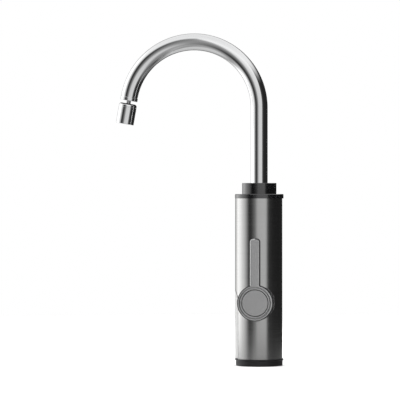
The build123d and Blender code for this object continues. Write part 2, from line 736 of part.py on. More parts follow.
with BuildPart() as valve_body:
    disc(level(valve_bottom), VALVE_RADIUS, 2 * valve_half)
    disc(level(neck_bottom), VALVE_NECK_RADIUS, VALVE_NECK_LENGTH)
    disc(lever(0), chamber_outer, chamber_mouth)
    block(level(HANDLE_HEIGHT - bypass_lug), 0, bypass_x, web_front, web_back, 2 * bypass_lug)
    lug_height = bypass_bottom + BYPASS_SOCKET - HANDLE_HEIGHT + bypass_lug
    discs(level(HANDLE_HEIGHT - bypass_lug), [cold_place], bypass_lug, lug_height)
    disc(lever(chamber_floor), CHAMBER_RADIUS, chamber_mouth, Mode.SUBTRACT)
    disc(level(neck_bottom), PIPE_RADIUS + FIT, PIPE_SOCKET_DEPTH, Mode.SUBTRACT)
    disc(level(valve_groove), PIPE_RADIUS + SEAL_CORD, SEAL_CORD, Mode.SUBTRACT)
    disc(level(pipe_top), INLET_BORE, HANDLE_HEIGHT - pipe_top, Mode.SUBTRACT)
    disc(lever(0), PORT_RADIUS, chamber_floor, Mode.SUBTRACT)
    discs(lever(-PORT_BACK), port_places, PORT_RADIUS, PORT_BACK + chamber_floor, Mode.SUBTRACT)
    discs(level(HANDLE_HEIGHT), [hot_place], CHANNEL_RADIUS, valve_half, Mode.SUBTRACT)
    hot_floor = valve_top - HEATER_SPIGOT_LENGTH - LOOSE
    discs(level(hot_floor), [hot_place], HEATER_SPIGOT_RADIUS + FIT, valve_top - hot_floor, Mode.SUBTRACT)
    cold_run = inwards(port_offset, PORT_BACK, HANDLE_HEIGHT)
    disc(cold_run, CHANNEL_RADIUS, bypass_x - port_offset, Mode.SUBTRACT)
    discs(level(HANDLE_HEIGHT), [cold_place], BYPASS_RADIUS - BYPASS_LEDGE, BYPASS_SEAT, Mode.SUBTRACT)
    discs(level(bypass_bottom), [cold_place], BYPASS_RADIUS + FIT, BYPASS_SOCKET, Mode.SUBTRACT)
valve_body.part.label = "valve_body"

# Disc pack: rubber seat, fixed disc with three ports, moving disc with a blind slot
with BuildPart() as port_seal:
    disc(lever(chamber_floor), liner_radius, SEAT_THICKNESS)
    discs(lever(chamber_floor), [*port_places, (0, 0)], PORT_RADIUS, SEAT_THICKNESS, Mode.SUBTRACT)
port_seal.part.label = "port_seal"

with BuildPart() as fixed_disc:
    disc(lever(fixed_disc_start), disc_radius, FIXED_DISC)
    discs(lever(fixed_disc_start), [*port_places, (0, 0)], PORT_RADIUS, FIXED_DISC, Mode.SUBTRACT)
fixed_disc.part.label = "fixed_disc"

with BuildPart() as moving_disc:
    disc(lever(moving_disc_start), disc_radius, MOVING_DISC)
    with BuildSketch(lever(moving_disc_start)):
        with Locations((0, -port_offset / 2)):
            SlotCenterToCenter(port_offset, 2 * PORT_RADIUS, rotation=90)
    extrude(amount=SLOT_DEPTH, mode=Mode.SUBTRACT)
    groove_half = TONGUE_WIDTH / 2 + FIT
    groove = lever(spindle_start - TONGUE_HEIGHT - FIT)
    block(groove, -disc_radius, disc_radius, -groove_half, groove_half, MOVING_DISC, Mode.SUBTRACT)
moving_disc.part.label = "moving_disc"

# Cartridge: sleeve, nut and the spindle with its tongue and its square
with BuildPart() as cartridge_sleeve:
    ring(lever(fixed_disc_start), liner_radius, sleeve_bore, sleeve_shoulder - fixed_disc_start)
    ring(lever(sleeve_shoulder), liner_radius, SPINDLE_RADIUS + FIT, SLEEVE_END)
    ring(lever(sleeve_end), SLEEVE_NECK_RADIUS, SPINDLE_RADIUS + FIT, SLEEVE_NECK_LENGTH)
cartridge_sleeve.part.label = "cartridge_sleeve"

with BuildPart() as cartridge_nut:
    disc(lever(sleeve_end), liner_radius, NUT_THREAD)
    with BuildSketch(lever(chamber_mouth)):
        RegularPolygon(NUT_HEX_RADIUS, 6)
    extrude(amount=NUT_HEX_LENGTH)
    disc(lever(sleeve_end), SLEEVE_NECK_RADIUS + FIT, NUT_THREAD + NUT_HEX_LENGTH, Mode.SUBTRACT)
cartridge_nut.part.label = "cartridge_nut"

square_half = DRIVE_SQUARE / 2

with BuildPart() as spindle:
    disc(lever(spindle_start), disc_radius, SPINDLE_FLANGE)
    tongue_end = lever(spindle_start - TONGUE_HEIGHT)
    tongue_half = TONGUE_LENGTH / 2
    block(tongue_end, -tongue_half, tongue_half, -TONGUE_WIDTH / 2, TONGUE_WIDTH / 2, TONGUE_HEIGHT)
    disc(lever(spindle_shoulder), SPINDLE_RADIUS, drive_start - spindle_shoulder)
    square_length = spindle_end - drive_start
    block(lever(drive_start), -square_half, square_half, -square_half, square_half, square_length)
    disc(lever(spindle_end), HANDLE_SCREW_RADIUS + FIT, -HANDLE_SCREW_LENGTH, Mode.SUBTRACT)
spindle.part.label = "spindle"

# Fixed boss between the casing and the turning hub
with BuildPart() as handle_boss:
    disc(lever(0), hub_radius - BOSS_INSET, boss_front)
    fillet(handle_boss.edges().sort_by(Axis.Y)[0], BOSS_EDGE)
    disc(casing_level(0), casing_radius + FIT, casing_top, Mode.SUBTRACT)
    disc(lever(boss_start), boss_tail_radius, boss_front - boss_start)
    disc(lever(0), boss_bore, HANDLE_FRONT, Mode.SUBTRACT)
handle_boss.part.label = "handle_boss"

# Lever: the hub ring with its flat arm
with BuildPart() as handle_lever:
    with BuildSketch(lever(HANDLE_FRONT - ARM_THICKNESS)):
        Circle(hub_radius)
        with Locations((0, (ARM_LENGTH - ARM_CORNER) / 2)):
            Rectangle(ARM_WIDTH, ARM_LENGTH - ARM_CORNER)
        with Locations((0, ARM_LENGTH - ARM_WIDTH)):
            RectangleRounded(ARM_WIDTH, 2 * ARM_WIDTH, ARM_CORNER)
    extrude(amount=ARM_THICKNESS)
    fillet(handle_lever.faces().sort_by(Axis.Y)[0].outer_wire().edges(), HUB_EDGE)
    disc(lever(hub_back), hub_radius, HUB_THICKNESS - ARM_THICKNESS)
    disc(lever(drive_start), DRIVE_RADIUS, DRIVE_LENGTH)
    disc(lever(cap_floor), cap_radius + CAP_GAP, CAP_THICKNESS, Mode.SUBTRACT)
    with BuildSketch(lever(drive_start)):
        Rectangle(DRIVE_SQUARE + 2 * FIT, DRIVE_SQUARE + 2 * FIT)
    extrude(amount=drive_end - drive_start, mode=Mode.SUBTRACT)
    disc(lever(drive_start), HANDLE_SCREW_RADIUS + SLIP, HANDLE_FRONT - drive_start, Mode.SUBTRACT)
handle_lever.part.label = "handle_lever"

# Centre cap with its fine groove
with BuildPart() as handle_cap:
    disc(lever(cap_floor), cap_radius, CAP_THICKNESS)
    chamfer(handle_cap.edges().sort_by(Axis.Y)[0], SEAM)
    groove_outer = cap_radius - CAP_BORDER
    ring(lever(HANDLE_FRONT), groove_outer, groove_outer - CAP_GROOVE_WIDTH, -CAP_GROOVE_DEPTH, Mode.SUBTRACT)
    disc(lever(cap_floor), HANDLE_SCREW_HEAD_RADIUS + LOOSE, HANDLE_SCREW_HEAD + SLIP, Mode.SUBTRACT)
handle_cap.part.label = "handle_cap"

with BuildPart() as handle_screw:
    disc(lever(cap_floor), HANDLE_SCREW_HEAD_RADIUS, HANDLE_SCREW_HEAD)
    disc(lever(cap_floor), HANDLE_SCREW_RADIUS, -HANDLE_SCREW_LENGTH)
    with BuildSketch(lever(cap_floor + HANDLE_SCREW_HEAD)):
        RegularPolygon(HANDLE_SCREW_KEY, 6)
    extrude(amount=-HANDLE_SCREW_HEAD / 2, mode=Mode.SUBTRACT)
handle_screw.part.label = "handle_screw"

# Cold water pipe beside the heater
with BuildPart() as bypass_pipe:
    bypass_length = bypass_turn - bypass_bottom
    discs(level(bypass_bottom), [cold_place], BYPASS_RADIUS, bypass_length)
    discs(level(bypass_bottom), [cold_place], BYPASS_RADIUS - BYPASS_WALL, bypass_length, Mode.SUBTRACT)
bypass_pipe.part.label = "bypass_pipe"

# Heater cup, with the spigot that takes the water from the valve
lid_screw_places = [around(heater_radius - HEATER_WALL / 2, angle) for angle in LID_SCREW_ANGLES]

with BuildPart() as heater_cup:
    disc(level(valve_top), heater_radius, heater_top - valve_top)
    disc(level(valve_top + HEATER_FLOOR), heater_bore, heater_top - valve_top, Mode.SUBTRACT)
    spigot_bottom = valve_top - HEATER_SPIGOT_LENGTH
    discs(level(spigot_bottom), [hot_place], HEATER_SPIGOT_RADIUS, HEATER_SPIGOT_LENGTH)
    inlet_length = HEATER_SPIGOT_LENGTH + HEATER_FLOOR
    discs(level(spigot_bottom), [hot_place], CHANNEL_RADIUS, inlet_length, Mode.SUBTRACT)
    discs(level(heater_top), lid_screw_places, SMALL_SCREW_RADIUS + FIT, -LID_SCREW_LENGTH, Mode.SUBTRACT)
heater_cup.part.label = "heater_cup"

# Heater lid with the outlet and the holes of the element's cold ends
leg_offset = (heater_bore - ELEMENT_GAP - ELEMENT_RADIUS) / math.sqrt(2)
element_ends = [(-leg_offset, -leg_offset), (leg_offset, -leg_offset)]
plug_bottom = heater_top - LID_PLUG
lid_groove = heater_top - (LID_PLUG + SEAL_CORD) / 2

with BuildPart() as heater_lid:
    disc(level(heater_top), heater_radius, LID_THICKNESS)
    disc(level(plug_bottom), heater_bore - FIT, LID_PLUG)
    disc(level(lid_top), LID_OUTLET_RADIUS, LID_OUTLET_LENGTH)
    ring(level(lid_groove), heater_bore, heater_bore - FIT - SEAL_CORD, SEAL_CORD, Mode.SUBTRACT)
    disc(level(plug_bottom), LID_OUTLET_BORE, outlet_top - plug_bottom, Mode.SUBTRACT)
    discs(level(plug_bottom), element_ends, ELEMENT_RADIUS + FIT, lid_top - plug_bottom, Mode.SUBTRACT)
    discs(level(heater_top), lid_screw_places, SMALL_SCREW_RADIUS + FIT, LID_THICKNESS, Mode.SUBTRACT)
heater_lid.part.label = "heater_lid"

with BuildPart() as heater_lid_seal:
    seal_ring(lid_groove, heater_bore - FIT - SEAL_CORD / 2, SEAL_CORD - FIT)
heater_lid_seal.part.label = "heater_lid_seal"

# Lid screws; the two at the back also hold the thermostat's strip
with BuildPart() as heater_screws:
    for place in lid_screw_places:
        seat_height = lid_top + STRIP_THICKNESS if place[1] > 0 else lid_top
        discs(level(seat_height), [place], SMALL_SCREW_HEAD_RADIUS, SMALL_SCREW_HEAD)
        discs(level(seat_height), [place], SMALL_SCREW_RADIUS, -LID_SCREW_LENGTH)
heater_screws.part.label = "heater_screws"

# Heating element: one tube that goes down, across, up, across, down, across and up again
with BuildPart() as heating_element:
    element_top = lid_top + ELEMENT_STAND
    element_low = valve_top + HEATER_FLOOR + ELEMENT_FOOT + ELEMENT_RADIUS
    element_high = plug_bottom - ELEMENT_HEAD - ELEMENT_RADIUS
    with BuildLine() as element_path:
        FilletPolyline(
            (-leg_offset, -leg_offset, element_top),
            (-leg_offset, -leg_offset, element_low),
            (-leg_offset, leg_offset, element_low),
            (-leg_offset, leg_offset, element_high),
            (leg_offset, leg_offset, element_high),
            (leg_offset, leg_offset, element_low),
            (leg_offset, -leg_offset, element_low),
            (leg_offset, -leg_offset, element_top),
            radius=leg_offset * ELEMENT_BEND,
        )
    with BuildSketch(Plane(origin=(-leg_offset, -leg_offset, element_top))):
        Circle(ELEMENT_RADIUS)
    sweep(path=element_path.line)
heating_element.part.label = "heating_element"

half_blade = TERMINAL_THICKNESS / 2

with BuildPart() as element_terminals:
    for end_x, end_y in element_ends:
        left = end_x - TERMINAL_WIDTH / 2
        right = end_x + TERMINAL_WIDTH / 2
        front = end_y - half_blade
        back = end_y + half_blade
        block(level(element_top), left, right, front, back, TERMINAL_LENGTH)
element_terminals.part.label = "element_terminals"

# Thermostat on the lid, held by a strip under two of the lid screws
cutout_place = (0, LID_OUTLET_RADIUS + LOOSE + CUTOUT_RADIUS + CUTOUT_RIM)
back_screw_x, back_screw_y = lid_screw_places[0]

with BuildPart() as cutout_bracket:
    with BuildSketch(level(lid_top)):
        with Locations((0, back_screw_y)):
            SlotCenterToCenter(2 * back_screw_x, 2 * SMALL_SCREW_HEAD_RADIUS)
        with Locations(cutout_place):
            Circle(CUTOUT_RADIUS + CUTOUT_RIM)
            Circle(CUTOUT_RADIUS + FIT, mode=Mode.SUBTRACT)
        with Locations(lid_screw_places[0], lid_screw_places[1]):
            Circle(SMALL_SCREW_RADIUS + FIT, mode=Mode.SUBTRACT)
    extrude(amount=STRIP_THICKNESS)
cutout_bracket.part.label = "cutout_bracket"

with BuildPart() as thermal_cutout:
    discs(level(lid_top), [cutout_place], CUTOUT_RADIUS, CUTOUT_HEIGHT)
    blade_half = TERMINAL_WIDTH / 2
    for blade_x in (-CUTOUT_RADIUS / 2, CUTOUT_RADIUS / 2):
        block(
            level(lid_top + CUTOUT_HEIGHT),
            blade_x - half_blade,
            blade_x + half_blade,
            cutout_place[1] - blade_half,
            cutout_place[1] + blade_half,
            TERMINAL_LENGTH - half_blade,
        )
thermal_cutout.part.label = "thermal_cutout"

# Outlet manifold: joins hot and cold, and carries the swivel in its neck
with BuildPart() as outlet_manifold:
    disc(level(manifold_bottom), MANIFOLD_FOOT_RADIUS, arm_bottom - manifold_bottom)
    disc(level(arm_bottom), MANIFOLD_RADIUS, casing_top - arm_bottom)
    disc(level(casing_top - SHOULDER_HEIGHT), SHOULDER_RADIUS, SHOULDER_HEIGHT)
    disc(level(casing_top), NECK_RADIUS, neck_top - casing_top)
    block(level(arm_bottom), 0, bypass_x, web_front, web_back, MANIFOLD_ARM_HEIGHT)
    discs(level(arm_bottom), [cold_place], bypass_lug, MANIFOLD_ARM_HEIGHT)
    disc(level(manifold_bottom), LID_OUTLET_RADIUS + FIT, MANIFOLD_GRIP + LOOSE, Mode.SUBTRACT)
    disc(level(outlet_top + LOOSE), MANIFOLD_BORE, stem_floor - outlet_top, Mode.SUBTRACT)
    disc(level(stem_floor), STEM_RADIUS + FIT, neck_top - stem_floor, Mode.SUBTRACT)
    disc(level(bush_floor), counterbore, neck_top - bush_floor, Mode.SUBTRACT)
    discs(level(arm_bottom), [cold_place], BYPASS_RADIUS + FIT, BYPASS_SOCKET, Mode.SUBTRACT)
    disc(inwards(0, PORT_BACK, bypass_turn), CHANNEL_RADIUS, bypass_x, Mode.SUBTRACT)
outlet_manifold.part.label = "outlet_manifold"

# Top flange, drawn down onto the casing by the rods
with BuildPart() as top_flange:
    spigot_bottom = casing_top - SPIGOT_HEIGHT
    disc(level(casing_top), rim_radius, FLANGE_THICKNESS)
    chamfer(top_flange.edges().group_by(Axis.Z)[-1], FLANGE_EDGE)
    ring(casing_level(spigot_bottom), spigot_radius, spigot_bore, SPIGOT_HEIGHT)
    discs(level(spigot_bottom), rod_places, ROD_BOSS_RADIUS, SPIGOT_HEIGHT)
    rod_hole = rod_top + LOOSE - spigot_bottom
    discs(level(spigot_bottom), rod_places, ROD_RADIUS + FIT, rod_hole, Mode.SUBTRACT)
    disc(level(casing_top), NECK_RADIUS + SLIP, FLANGE_THICKNESS, Mode.SUBTRACT)
top_flange.part.label = "top_flange"

# Collar nut on the neck, with the lip that keeps the spout down
with BuildPart() as spout_collar:
    disc(level(flange_top), COLLAR_DIAMETER / 2, COLLAR_HEIGHT)
    chamfer(spout_collar.edges().group_by(Axis.Z)[-1], SEAM)
    disc(level(flange_top), NECK_RADIUS + FIT, COLLAR_HEIGHT - COLLAR_LIP, Mode.SUBTRACT)
    disc(level(flange_top), tube_radius + LOOSE, COLLAR_HEIGHT, Mode.SUBTRACT)
spout_collar.part.label = "spout_collar"

with BuildPart() as lower_bush:
    ring(level(bush_floor), counterbore - FIT, STEM_RADIUS + FIT, LOWER_BUSH)
lower_bush.part.label = "lower_bush"

with BuildPart() as upper_bush:
    ring(level(neck_top), NECK_RADIUS, tube_radius + FIT, UPPER_BUSH)
upper_bush.part.label = "upper_bush"

# Spout: brass stem, its seals and the bent tube
shoulder_top = shoulder_bottom + STEM_SHOULDER

with BuildPart() as spout_stem:
    disc(level(stem_bottom), STEM_RADIUS, STEM_LENGTH)
    disc(level(shoulder_bottom), counterbore - LOOSE, STEM_SHOULDER)
    disc(level(shoulder_top), tube_bore - FIT, STEM_INSERT)
    for step in STEM_SEAL_STEPS:
        ring(level(stem_bottom + step), STEM_RADIUS + FIT, STEM_RADIUS - SEAL_CORD, SEAL_CORD, Mode.SUBTRACT)
    disc(level(stem_bottom), STEM_BORE, STEM_LENGTH + STEM_SHOULDER + STEM_INSERT, Mode.SUBTRACT)
spout_stem.part.label = "spout_stem"

with BuildPart() as stem_o_rings:
    for step in STEM_SEAL_STEPS:
        seal_ring(stem_bottom + step, STEM_RADIUS - SEAL_CORD / 2, SEAL_CORD - FIT)
stem_o_rings.part.label = "stem_o_rings"

with BuildPart() as spout_tube:
    with BuildLine(Plane.XZ) as spout_path:
        Line((0, shoulder_top), (0, ARC_HEIGHT))
        JernArc((0, ARC_HEIGHT), (0, 1), ARC_RADIUS, ARC_SWEEP)
    with BuildSketch(level(shoulder_top)):
        Circle(tube_radius)
        Circle(tube_bore, mode=Mode.SUBTRACT)
    sweep(path=spout_path.line)
spout_tube.part.label = "spout_tube"

# Ring on the spout's end, and the ball stud screwed into it
with BuildPart() as spout_end_ring:
    disc(outlet(-END_PLUG_LENGTH), tube_bore - FIT - tube_sag, END_PLUG_LENGTH)
    disc(outlet(0), tube_radius - END_RING_SEAM, END_RING_SEAM)
    disc(outlet(END_RING_SEAM), tube_radius + END_RING_STEP, END_RING_LENGTH - END_RING_SEAM)
    stud_hole = END_PLUG_LENGTH + END_RING_LENGTH
    disc(outlet(-END_PLUG_LENGTH), STUD_SHANK_RADIUS + FIT, stud_hole, Mode.SUBTRACT)
spout_end_ring.part.label = "spout_end_ring"

with BuildPart() as ball_stud:
    flat_radius = math.sqrt(BALL_RADIUS**2 - BALL_FLAT**2)
    ball_top = BALL_RADIUS - BALL_CENTRE
    ball_bottom = -BALL_CENTRE - BALL_FLAT
    disc(outlet(-END_PLUG_LENGTH), STUD_SHANK_RADIUS, END_PLUG_LENGTH + END_RING_LENGTH)
    disc(outlet(END_RING_LENGTH), STUD_NECK_RADIUS, BALL_CENTRE - END_RING_LENGTH)
    with BuildSketch(outlet_section):
        with BuildLine():
            Polyline((flat_radius, ball_bottom), (0, ball_bottom), (0, ball_top))
            ThreePointArc((0, ball_top), (BALL_RADIUS, -BALL_CENTRE), (flat_radius, ball_bottom))
        make_face()
    revolve(axis=outlet_axis)
    stud_length = END_PLUG_LENGTH + BALL_CENTRE + BALL_FLAT
    disc(outlet(-END_PLUG_LENGTH), STUD_BORE, stud_length, Mode.SUBTRACT)
ball_stud.part.label = "ball_stud"


def at_ball(radius, angle):
    """A point of the outlet's section, by distance from the ball's centre and angle from the neck."""
    turned = math.radians(angle)
    return (radius * math.sin(turned), radius * math.cos(turned) - BALL_CENTRE)


def ball_arc(radius, start, end):
    """An arc about the ball's centre in the outlet's section."""
    ThreePointArc(at_ball(radius, start), at_ball(radius, (start + end) / 2), at_ball(radius, end))


# Plastic seat around the ball: it turns with the head and lets the head tilt
with BuildPart() as ball_seat:
    with BuildSketch(outlet_section):
        with BuildLine():
            ball_arc(seat_inner, SEAT_FROM, SEAT_TO)
            Line(at_ball(seat_inner, SEAT_TO), at_ball(seat_outer, SEAT_TO))
            ball_arc(seat_outer, SEAT_TO, SEAT_FROM)
            Line(at_ball(seat_outer, SEAT_FROM), at_ball(seat_inner, SEAT_FROM))
        make_face()
    revolve(axis=outlet_axis)
ball_seat.part.label = "ball_seat"

# Outlet head: the cap ring holds the ball from above, the housing from below
with BuildPart() as aerator_cap:
    with BuildSketch(outlet_section):
        with BuildLine():
            face_radius = head_radius - HEAD_SHOULDER
            face_edge = -HEAD_START - HEAD_SHOULDER
            Line((CAP_HOLE, -HEAD_START), (face_radius, -HEAD_START))
            RadiusArc((face_radius, -HEAD_START), (head_radius, face_edge), HEAD_SHOULDER)
            Polyline(
                (head_radius, face_edge),
                (head_radius, -cap_ring_end),
                (skirt_radius, -cap_ring_end),
                (skirt_radius, -BALL_CENTRE),
                (pocket_radius, -BALL_CENTRE),
            )
            ball_arc(pocket_radius, 90, pocket_from)
            Line(at_ball(pocket_radius, pocket_from), (CAP_HOLE, -HEAD_START))
        make_face()
    revolve(axis=outlet_axis)
aerator_cap.part.label = "aerator_cap"

throat_radius, throat_height = at_ball(pocket_radius, pocket_to)

with BuildPart() as aerator_housing:
    with BuildSketch(outlet_section):
        with BuildLine():
            ball_arc(pocket_radius, 90, pocket_to)
            Polyline(
                (throat_radius, throat_height),
                (throat_radius, -washer_start),
                (insert_bore, -washer_start),
                (insert_bore, -head_end),
                (head_radius - HEAD_EDGE, -head_end),
                (head_radius, HEAD_EDGE - head_end),
                (head_radius, -cap_ring_end - SEAM),
                (skirt_radius + FIT, -cap_ring_end - SEAM),
                (skirt_radius + FIT, -BALL_CENTRE),
                (pocket_radius, -BALL_CENTRE),
            )
        make_face()
    revolve(axis=outlet_axis)
aerator_housing.part.label = "aerator_housing"

with BuildPart() as aerator_washer:
    ring(outlet(washer_start), insert_radius, throat_radius, WASHER_THICKNESS)
aerator_washer.part.label = "aerator_washer"

with BuildPart() as aerator_screen:
    disc(outlet(screen_start), insert_radius, SCREEN_THICKNESS)
    with BuildSketch(outlet(screen_start)):
        with GridLocations(SCREEN_PITCH, SCREEN_PITCH, SCREEN_COUNT, SCREEN_COUNT):
            Rectangle(SCREEN_HOLE, SCREEN_HOLE)
    extrude(amount=SCREEN_THICKNESS, mode=Mode.SUBTRACT)
aerator_screen.part.label = "aerator_screen"

with BuildPart() as aerator_insert:
    disc(outlet(insert_start), insert_radius, INSERT_LENGTH)
    with BuildSketch(outlet(insert_start)):
        with HexLocations(INSERT_PITCH, SCREEN_COUNT, SCREEN_COUNT):
            RegularPolygon(INSERT_CELL, 6)
    extrude(amount=INSERT_LENGTH, mode=Mode.SUBTRACT)
aerator_insert.part.label = "aerator_insert"

# One file for each piece
os.makedirs("parts", exist_ok=True)
export_step(base_ring.part, "parts/base_ring.step")
export_step(base_seal.part, "parts/base_seal.step")
export_step(cable_grommet.part, "parts/cable_grommet.step")
export_step(inlet_socket.part, "parts/inlet_socket.step")
export_step(inlet_filter.part, "parts/inlet_filter.step")
export_step(base_screws.part, "parts/base_screws.step")
export_step(tie_rods.part, "parts/tie_rods.step")
export_step(tie_nuts.part, "parts/tie_nuts.step")
export_step(casing_shell.part, "parts/casing_shell.step")
export_step(front_panel.part, "parts/front_panel.step")
export_step(board_bracket.part, "parts/board_bracket.step")
export_step(display_board.part, "parts/display_board.step")
export_step(display_module.part, "parts/display_module.step")
export_step(board_screws.part, "parts/board_screws.step")
export_step(terminal_block.part, "parts/terminal_block.step")
export_step(terminal_screws.part, "parts/terminal_screws.step")
export_step(supply_pipe.part, "parts/supply_pipe.step")
export_step(supply_pipe_seals.part, "parts/supply_pipe_seals.step")
export_step(flow_float.part, "parts/flow_float.step")
export_step(float_magnet.part, "parts/float_magnet.step")
export_step(reed_clip.part, "parts/reed_clip.step")
export_step(reed_switch.part, "parts/reed_switch.step")
export_step(valve_body.part, "parts/valve_body.step")
export_step(port_seal.part, "parts/port_seal.step")
export_step(fixed_disc.part, "parts/fixed_disc.step")
export_step(moving_disc.part, "parts/moving_disc.step")
export_step(cartridge_sleeve.part, "parts/cartridge_sleeve.step")
export_step(cartridge_nut.part, "parts/cartridge_nut.step")
export_step(spindle.part, "parts/spindle.step")
export_step(handle_boss.part, "parts/handle_boss.step")
export_step(handle_lever.part, "parts/handle_lever.step")
export_step(handle_cap.part, "parts/handle_cap.step")
export_step(handle_screw.part, "parts/handle_screw.step")
export_step(bypass_pipe.part, "parts/bypass_pipe.step")
export_step(heater_cup.part, "parts/heater_cup.step")
export_step(heater_lid.part, "parts/heater_lid.step")
export_step(heater_lid_seal.part, "parts/heater_lid_seal.step")
export_step(heater_screws.part, "parts/heater_screws.step")
export_step(heating_element.part, "parts/heating_element.step")
export_step(element_terminals.part, "parts/element_terminals.step")
export_step(cutout_bracket.part, "parts/cutout_bracket.step")
export_step(thermal_cutout.part, "parts/thermal_cutout.step")
export_step(outlet_manifold.part, "parts/outlet_manifold.step")
export_step(top_flange.part, "parts/top_flange.step")
export_step(spout_collar.part, "parts/spout_collar.step")
export_step(lower_bush.part, "parts/lower_bush.step")
export_step(upper_bush.part, "parts/upper_bush.step")
export_step(spout_stem.part, "parts/spout_stem.step")
export_step(stem_o_rings.part, "parts/stem_o_rings.step")
export_step(spout_tube.part, "parts/spout_tube.step")
export_step(spout_end_ring.part, "parts/spout_end_ring.step")
export_step(ball_stud.part, "parts/ball_stud.step")
export_step(ball_seat.part, "parts/ball_seat.step")
export_step(aerator_cap.part, "parts/aerator_cap.step")
export_step(aerator_housing.part, "parts/aerator_housing.step")
export_step(aerator_washer.part, "parts/aerator_washer.step")
export_step(aerator_screen.part, "parts/aerator_screen.step")
export_step(aerator_insert.part, "parts/aerator_insert.step")
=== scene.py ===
# %% [markdown]
# # An electric instant water heater tap
#
# The solids of this tap were drawn in a CAD program and packed as a fixed frame. This lesson dresses them:
# it sets up a small studio, gives every part the finish of the real one, and models again in Blender the
# pieces whose looks depend on soft edges. Everything is in metres, and the underside of the tap stands at
# height zero, so a measurement read from the frame can be used as it is.

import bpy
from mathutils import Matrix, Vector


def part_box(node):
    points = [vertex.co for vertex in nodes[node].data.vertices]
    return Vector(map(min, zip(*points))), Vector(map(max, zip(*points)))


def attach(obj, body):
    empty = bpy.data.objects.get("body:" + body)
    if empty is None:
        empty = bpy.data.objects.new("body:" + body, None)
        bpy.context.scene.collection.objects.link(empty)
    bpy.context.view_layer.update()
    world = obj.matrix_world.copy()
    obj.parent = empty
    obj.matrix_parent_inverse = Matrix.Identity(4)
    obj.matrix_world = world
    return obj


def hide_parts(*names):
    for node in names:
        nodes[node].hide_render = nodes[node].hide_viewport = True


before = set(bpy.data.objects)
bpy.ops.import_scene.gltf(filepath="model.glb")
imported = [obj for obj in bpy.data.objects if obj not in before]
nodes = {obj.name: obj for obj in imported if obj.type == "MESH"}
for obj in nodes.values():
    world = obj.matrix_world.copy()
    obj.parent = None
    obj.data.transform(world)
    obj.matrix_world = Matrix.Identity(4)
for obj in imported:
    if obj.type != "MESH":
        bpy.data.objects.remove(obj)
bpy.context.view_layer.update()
print("parts loaded:", len(nodes))

# %% Modules for the rest of the lesson
import math

import bmesh
import bpy
from mathutils import Vector

# %% [markdown]
# ## The camera
#
# A product picture of something this tall is taken from far away with a long lens, so that the upright
# sides stay parallel. The camera is level, at half the height of the tap, and stands seven and a half
# degrees to the right of straight ahead. It looks a little to the left of the casing, because the spout
# reaches out to that side and the whole tap should sit in the middle of a square picture.

# %% Camera
CAMERA_AZIMUTH = math.radians(7.5)
CAMERA_DISTANCE = 3.32
CAMERA_HEIGHT = 0.1981
AIM_LEFT = 0.071
FOCAL_LENGTH, SENSOR_WIDTH = 249.3, 36.0

towards = Vector((math.sin(CAMERA_AZIMUTH), -math.cos(CAMERA_AZIMUTH), 0))
left = Vector((-math.cos(CAMERA_AZIMUTH), -math.sin(CAMERA_AZIMUTH), 0))
lens = bpy.data.cameras.new("long_lens")
lens.lens, lens.sensor_width = FOCAL_LENGTH, SENSOR_WIDTH
camera = bpy.data.objects.new("camera", lens)
bpy.context.scene.collection.objects.link(camera)
camera.location = towards * CAMERA_DISTANCE + Vector((0, 0, CAMERA_HEIGHT))
aim = left * AIM_LEFT + Vector((0, 0, CAMERA_HEIGHT))
camera.rotation_euler = (aim - camera.location).to_track_quat("-Z", "Y").to_euler()
bpy.context.scene.camera = camera
print("camera at", tuple(round(c, 3) for c in camera.location))

# %% [markdown]
# ## Colours as they are
#
# Blender's standard film look softens white to a light grey. A cut-out product picture has a clean white
# ground, so the plain transform is chosen, which shows a brightness of one as white.

# %% View transform
bpy.context.scene.view_settings.view_transform = "Standard"
bpy.context.scene.view_settings.look = "None"

# %% [markdown]
# ## The studio around the tap
#
# Polished metal shows nothing but its surroundings, so the studio is half of its finish. Round a tap like
# this a photographer puts a tall white wall on the left, dark cloth on the right and a small soft light in
# front, and these give the upright white, black and grey bands on every round part. The walls could be
# modelled as panels, but panels get in the way when the tap is looked at from behind. Here they are part
# of the world: a colour ramp over the compass direction, mixed with a soft white ceiling above.
# The camera itself sees plain white past the tap.

# %% A few helpers for nodes
def add_node(tree, kind, **settings):
    """Adds one node and sets its plain settings and its numbered or named inputs."""
    node = tree.nodes.new(kind)
    for name, value in settings.items():
        if name == "inputs":
            for socket, content in value.items():
                node.inputs[socket].default_value = content
        else:
            setattr(node, name, value)
    return node


def join(tree, source, target, output=0, input=0):
    """Draws one link from a node's output to another node's input."""
    tree.links.new(source.outputs[output], target.inputs[input])


def set_ramp(ramp, stops):
    """Fills a colour ramp with (place, grey) stops."""
    elements = ramp.color_ramp.elements
    while len(elements) > 1:
        elements.remove(elements[-1])
    elements[0].position = stops[0][0]
    elements[0].color = (*[stops[0][1]] * 3, 1)
    for place, grey in stops[1:]:
        elements.new(place).color = (grey, grey, grey, 1)


# %% Brightness of the walls by compass direction
# Degrees to the right of the line from the tap to the camera, and the brightness of the wall there.
WALLS = [
    (-180, 0.15), (-165, 0.30), (-152, 0.52), (-142, 0.85), (-130, 1.40), (-120, 1.7), (-100, 1.42),
    (-85, 1.0), (-72, 0.72), (-62, 0.40), (-54, 0.12), (-48, 0.03), (-40, 0.03), (-31, 0.08), (-17, 0.25),
    (-9, 0.52), (-4, 0.62), (8, 0.63),
    (24, 0.67), (33, 0.66), (39, 0.48), (44, 0.12), (55, 0.035), (75, 0.018), (110, 0.018), (140, 0.022),
    (165, 0.03), (180, 0.10),
]
WALL_SCALE = 2.0  # a ramp holds no more than one, so it holds half the brightness
print("brightest wall:", max(grey for angle, grey in WALLS))

# %% [markdown]
# The ceiling light does not start at the same height all round. At the right front it begins at once, so
# the front light runs up into it, and it begins higher at the right and highest at the left front. That
# leaves two dark fields, and they draw the dark lines that follow the spout over its arch.

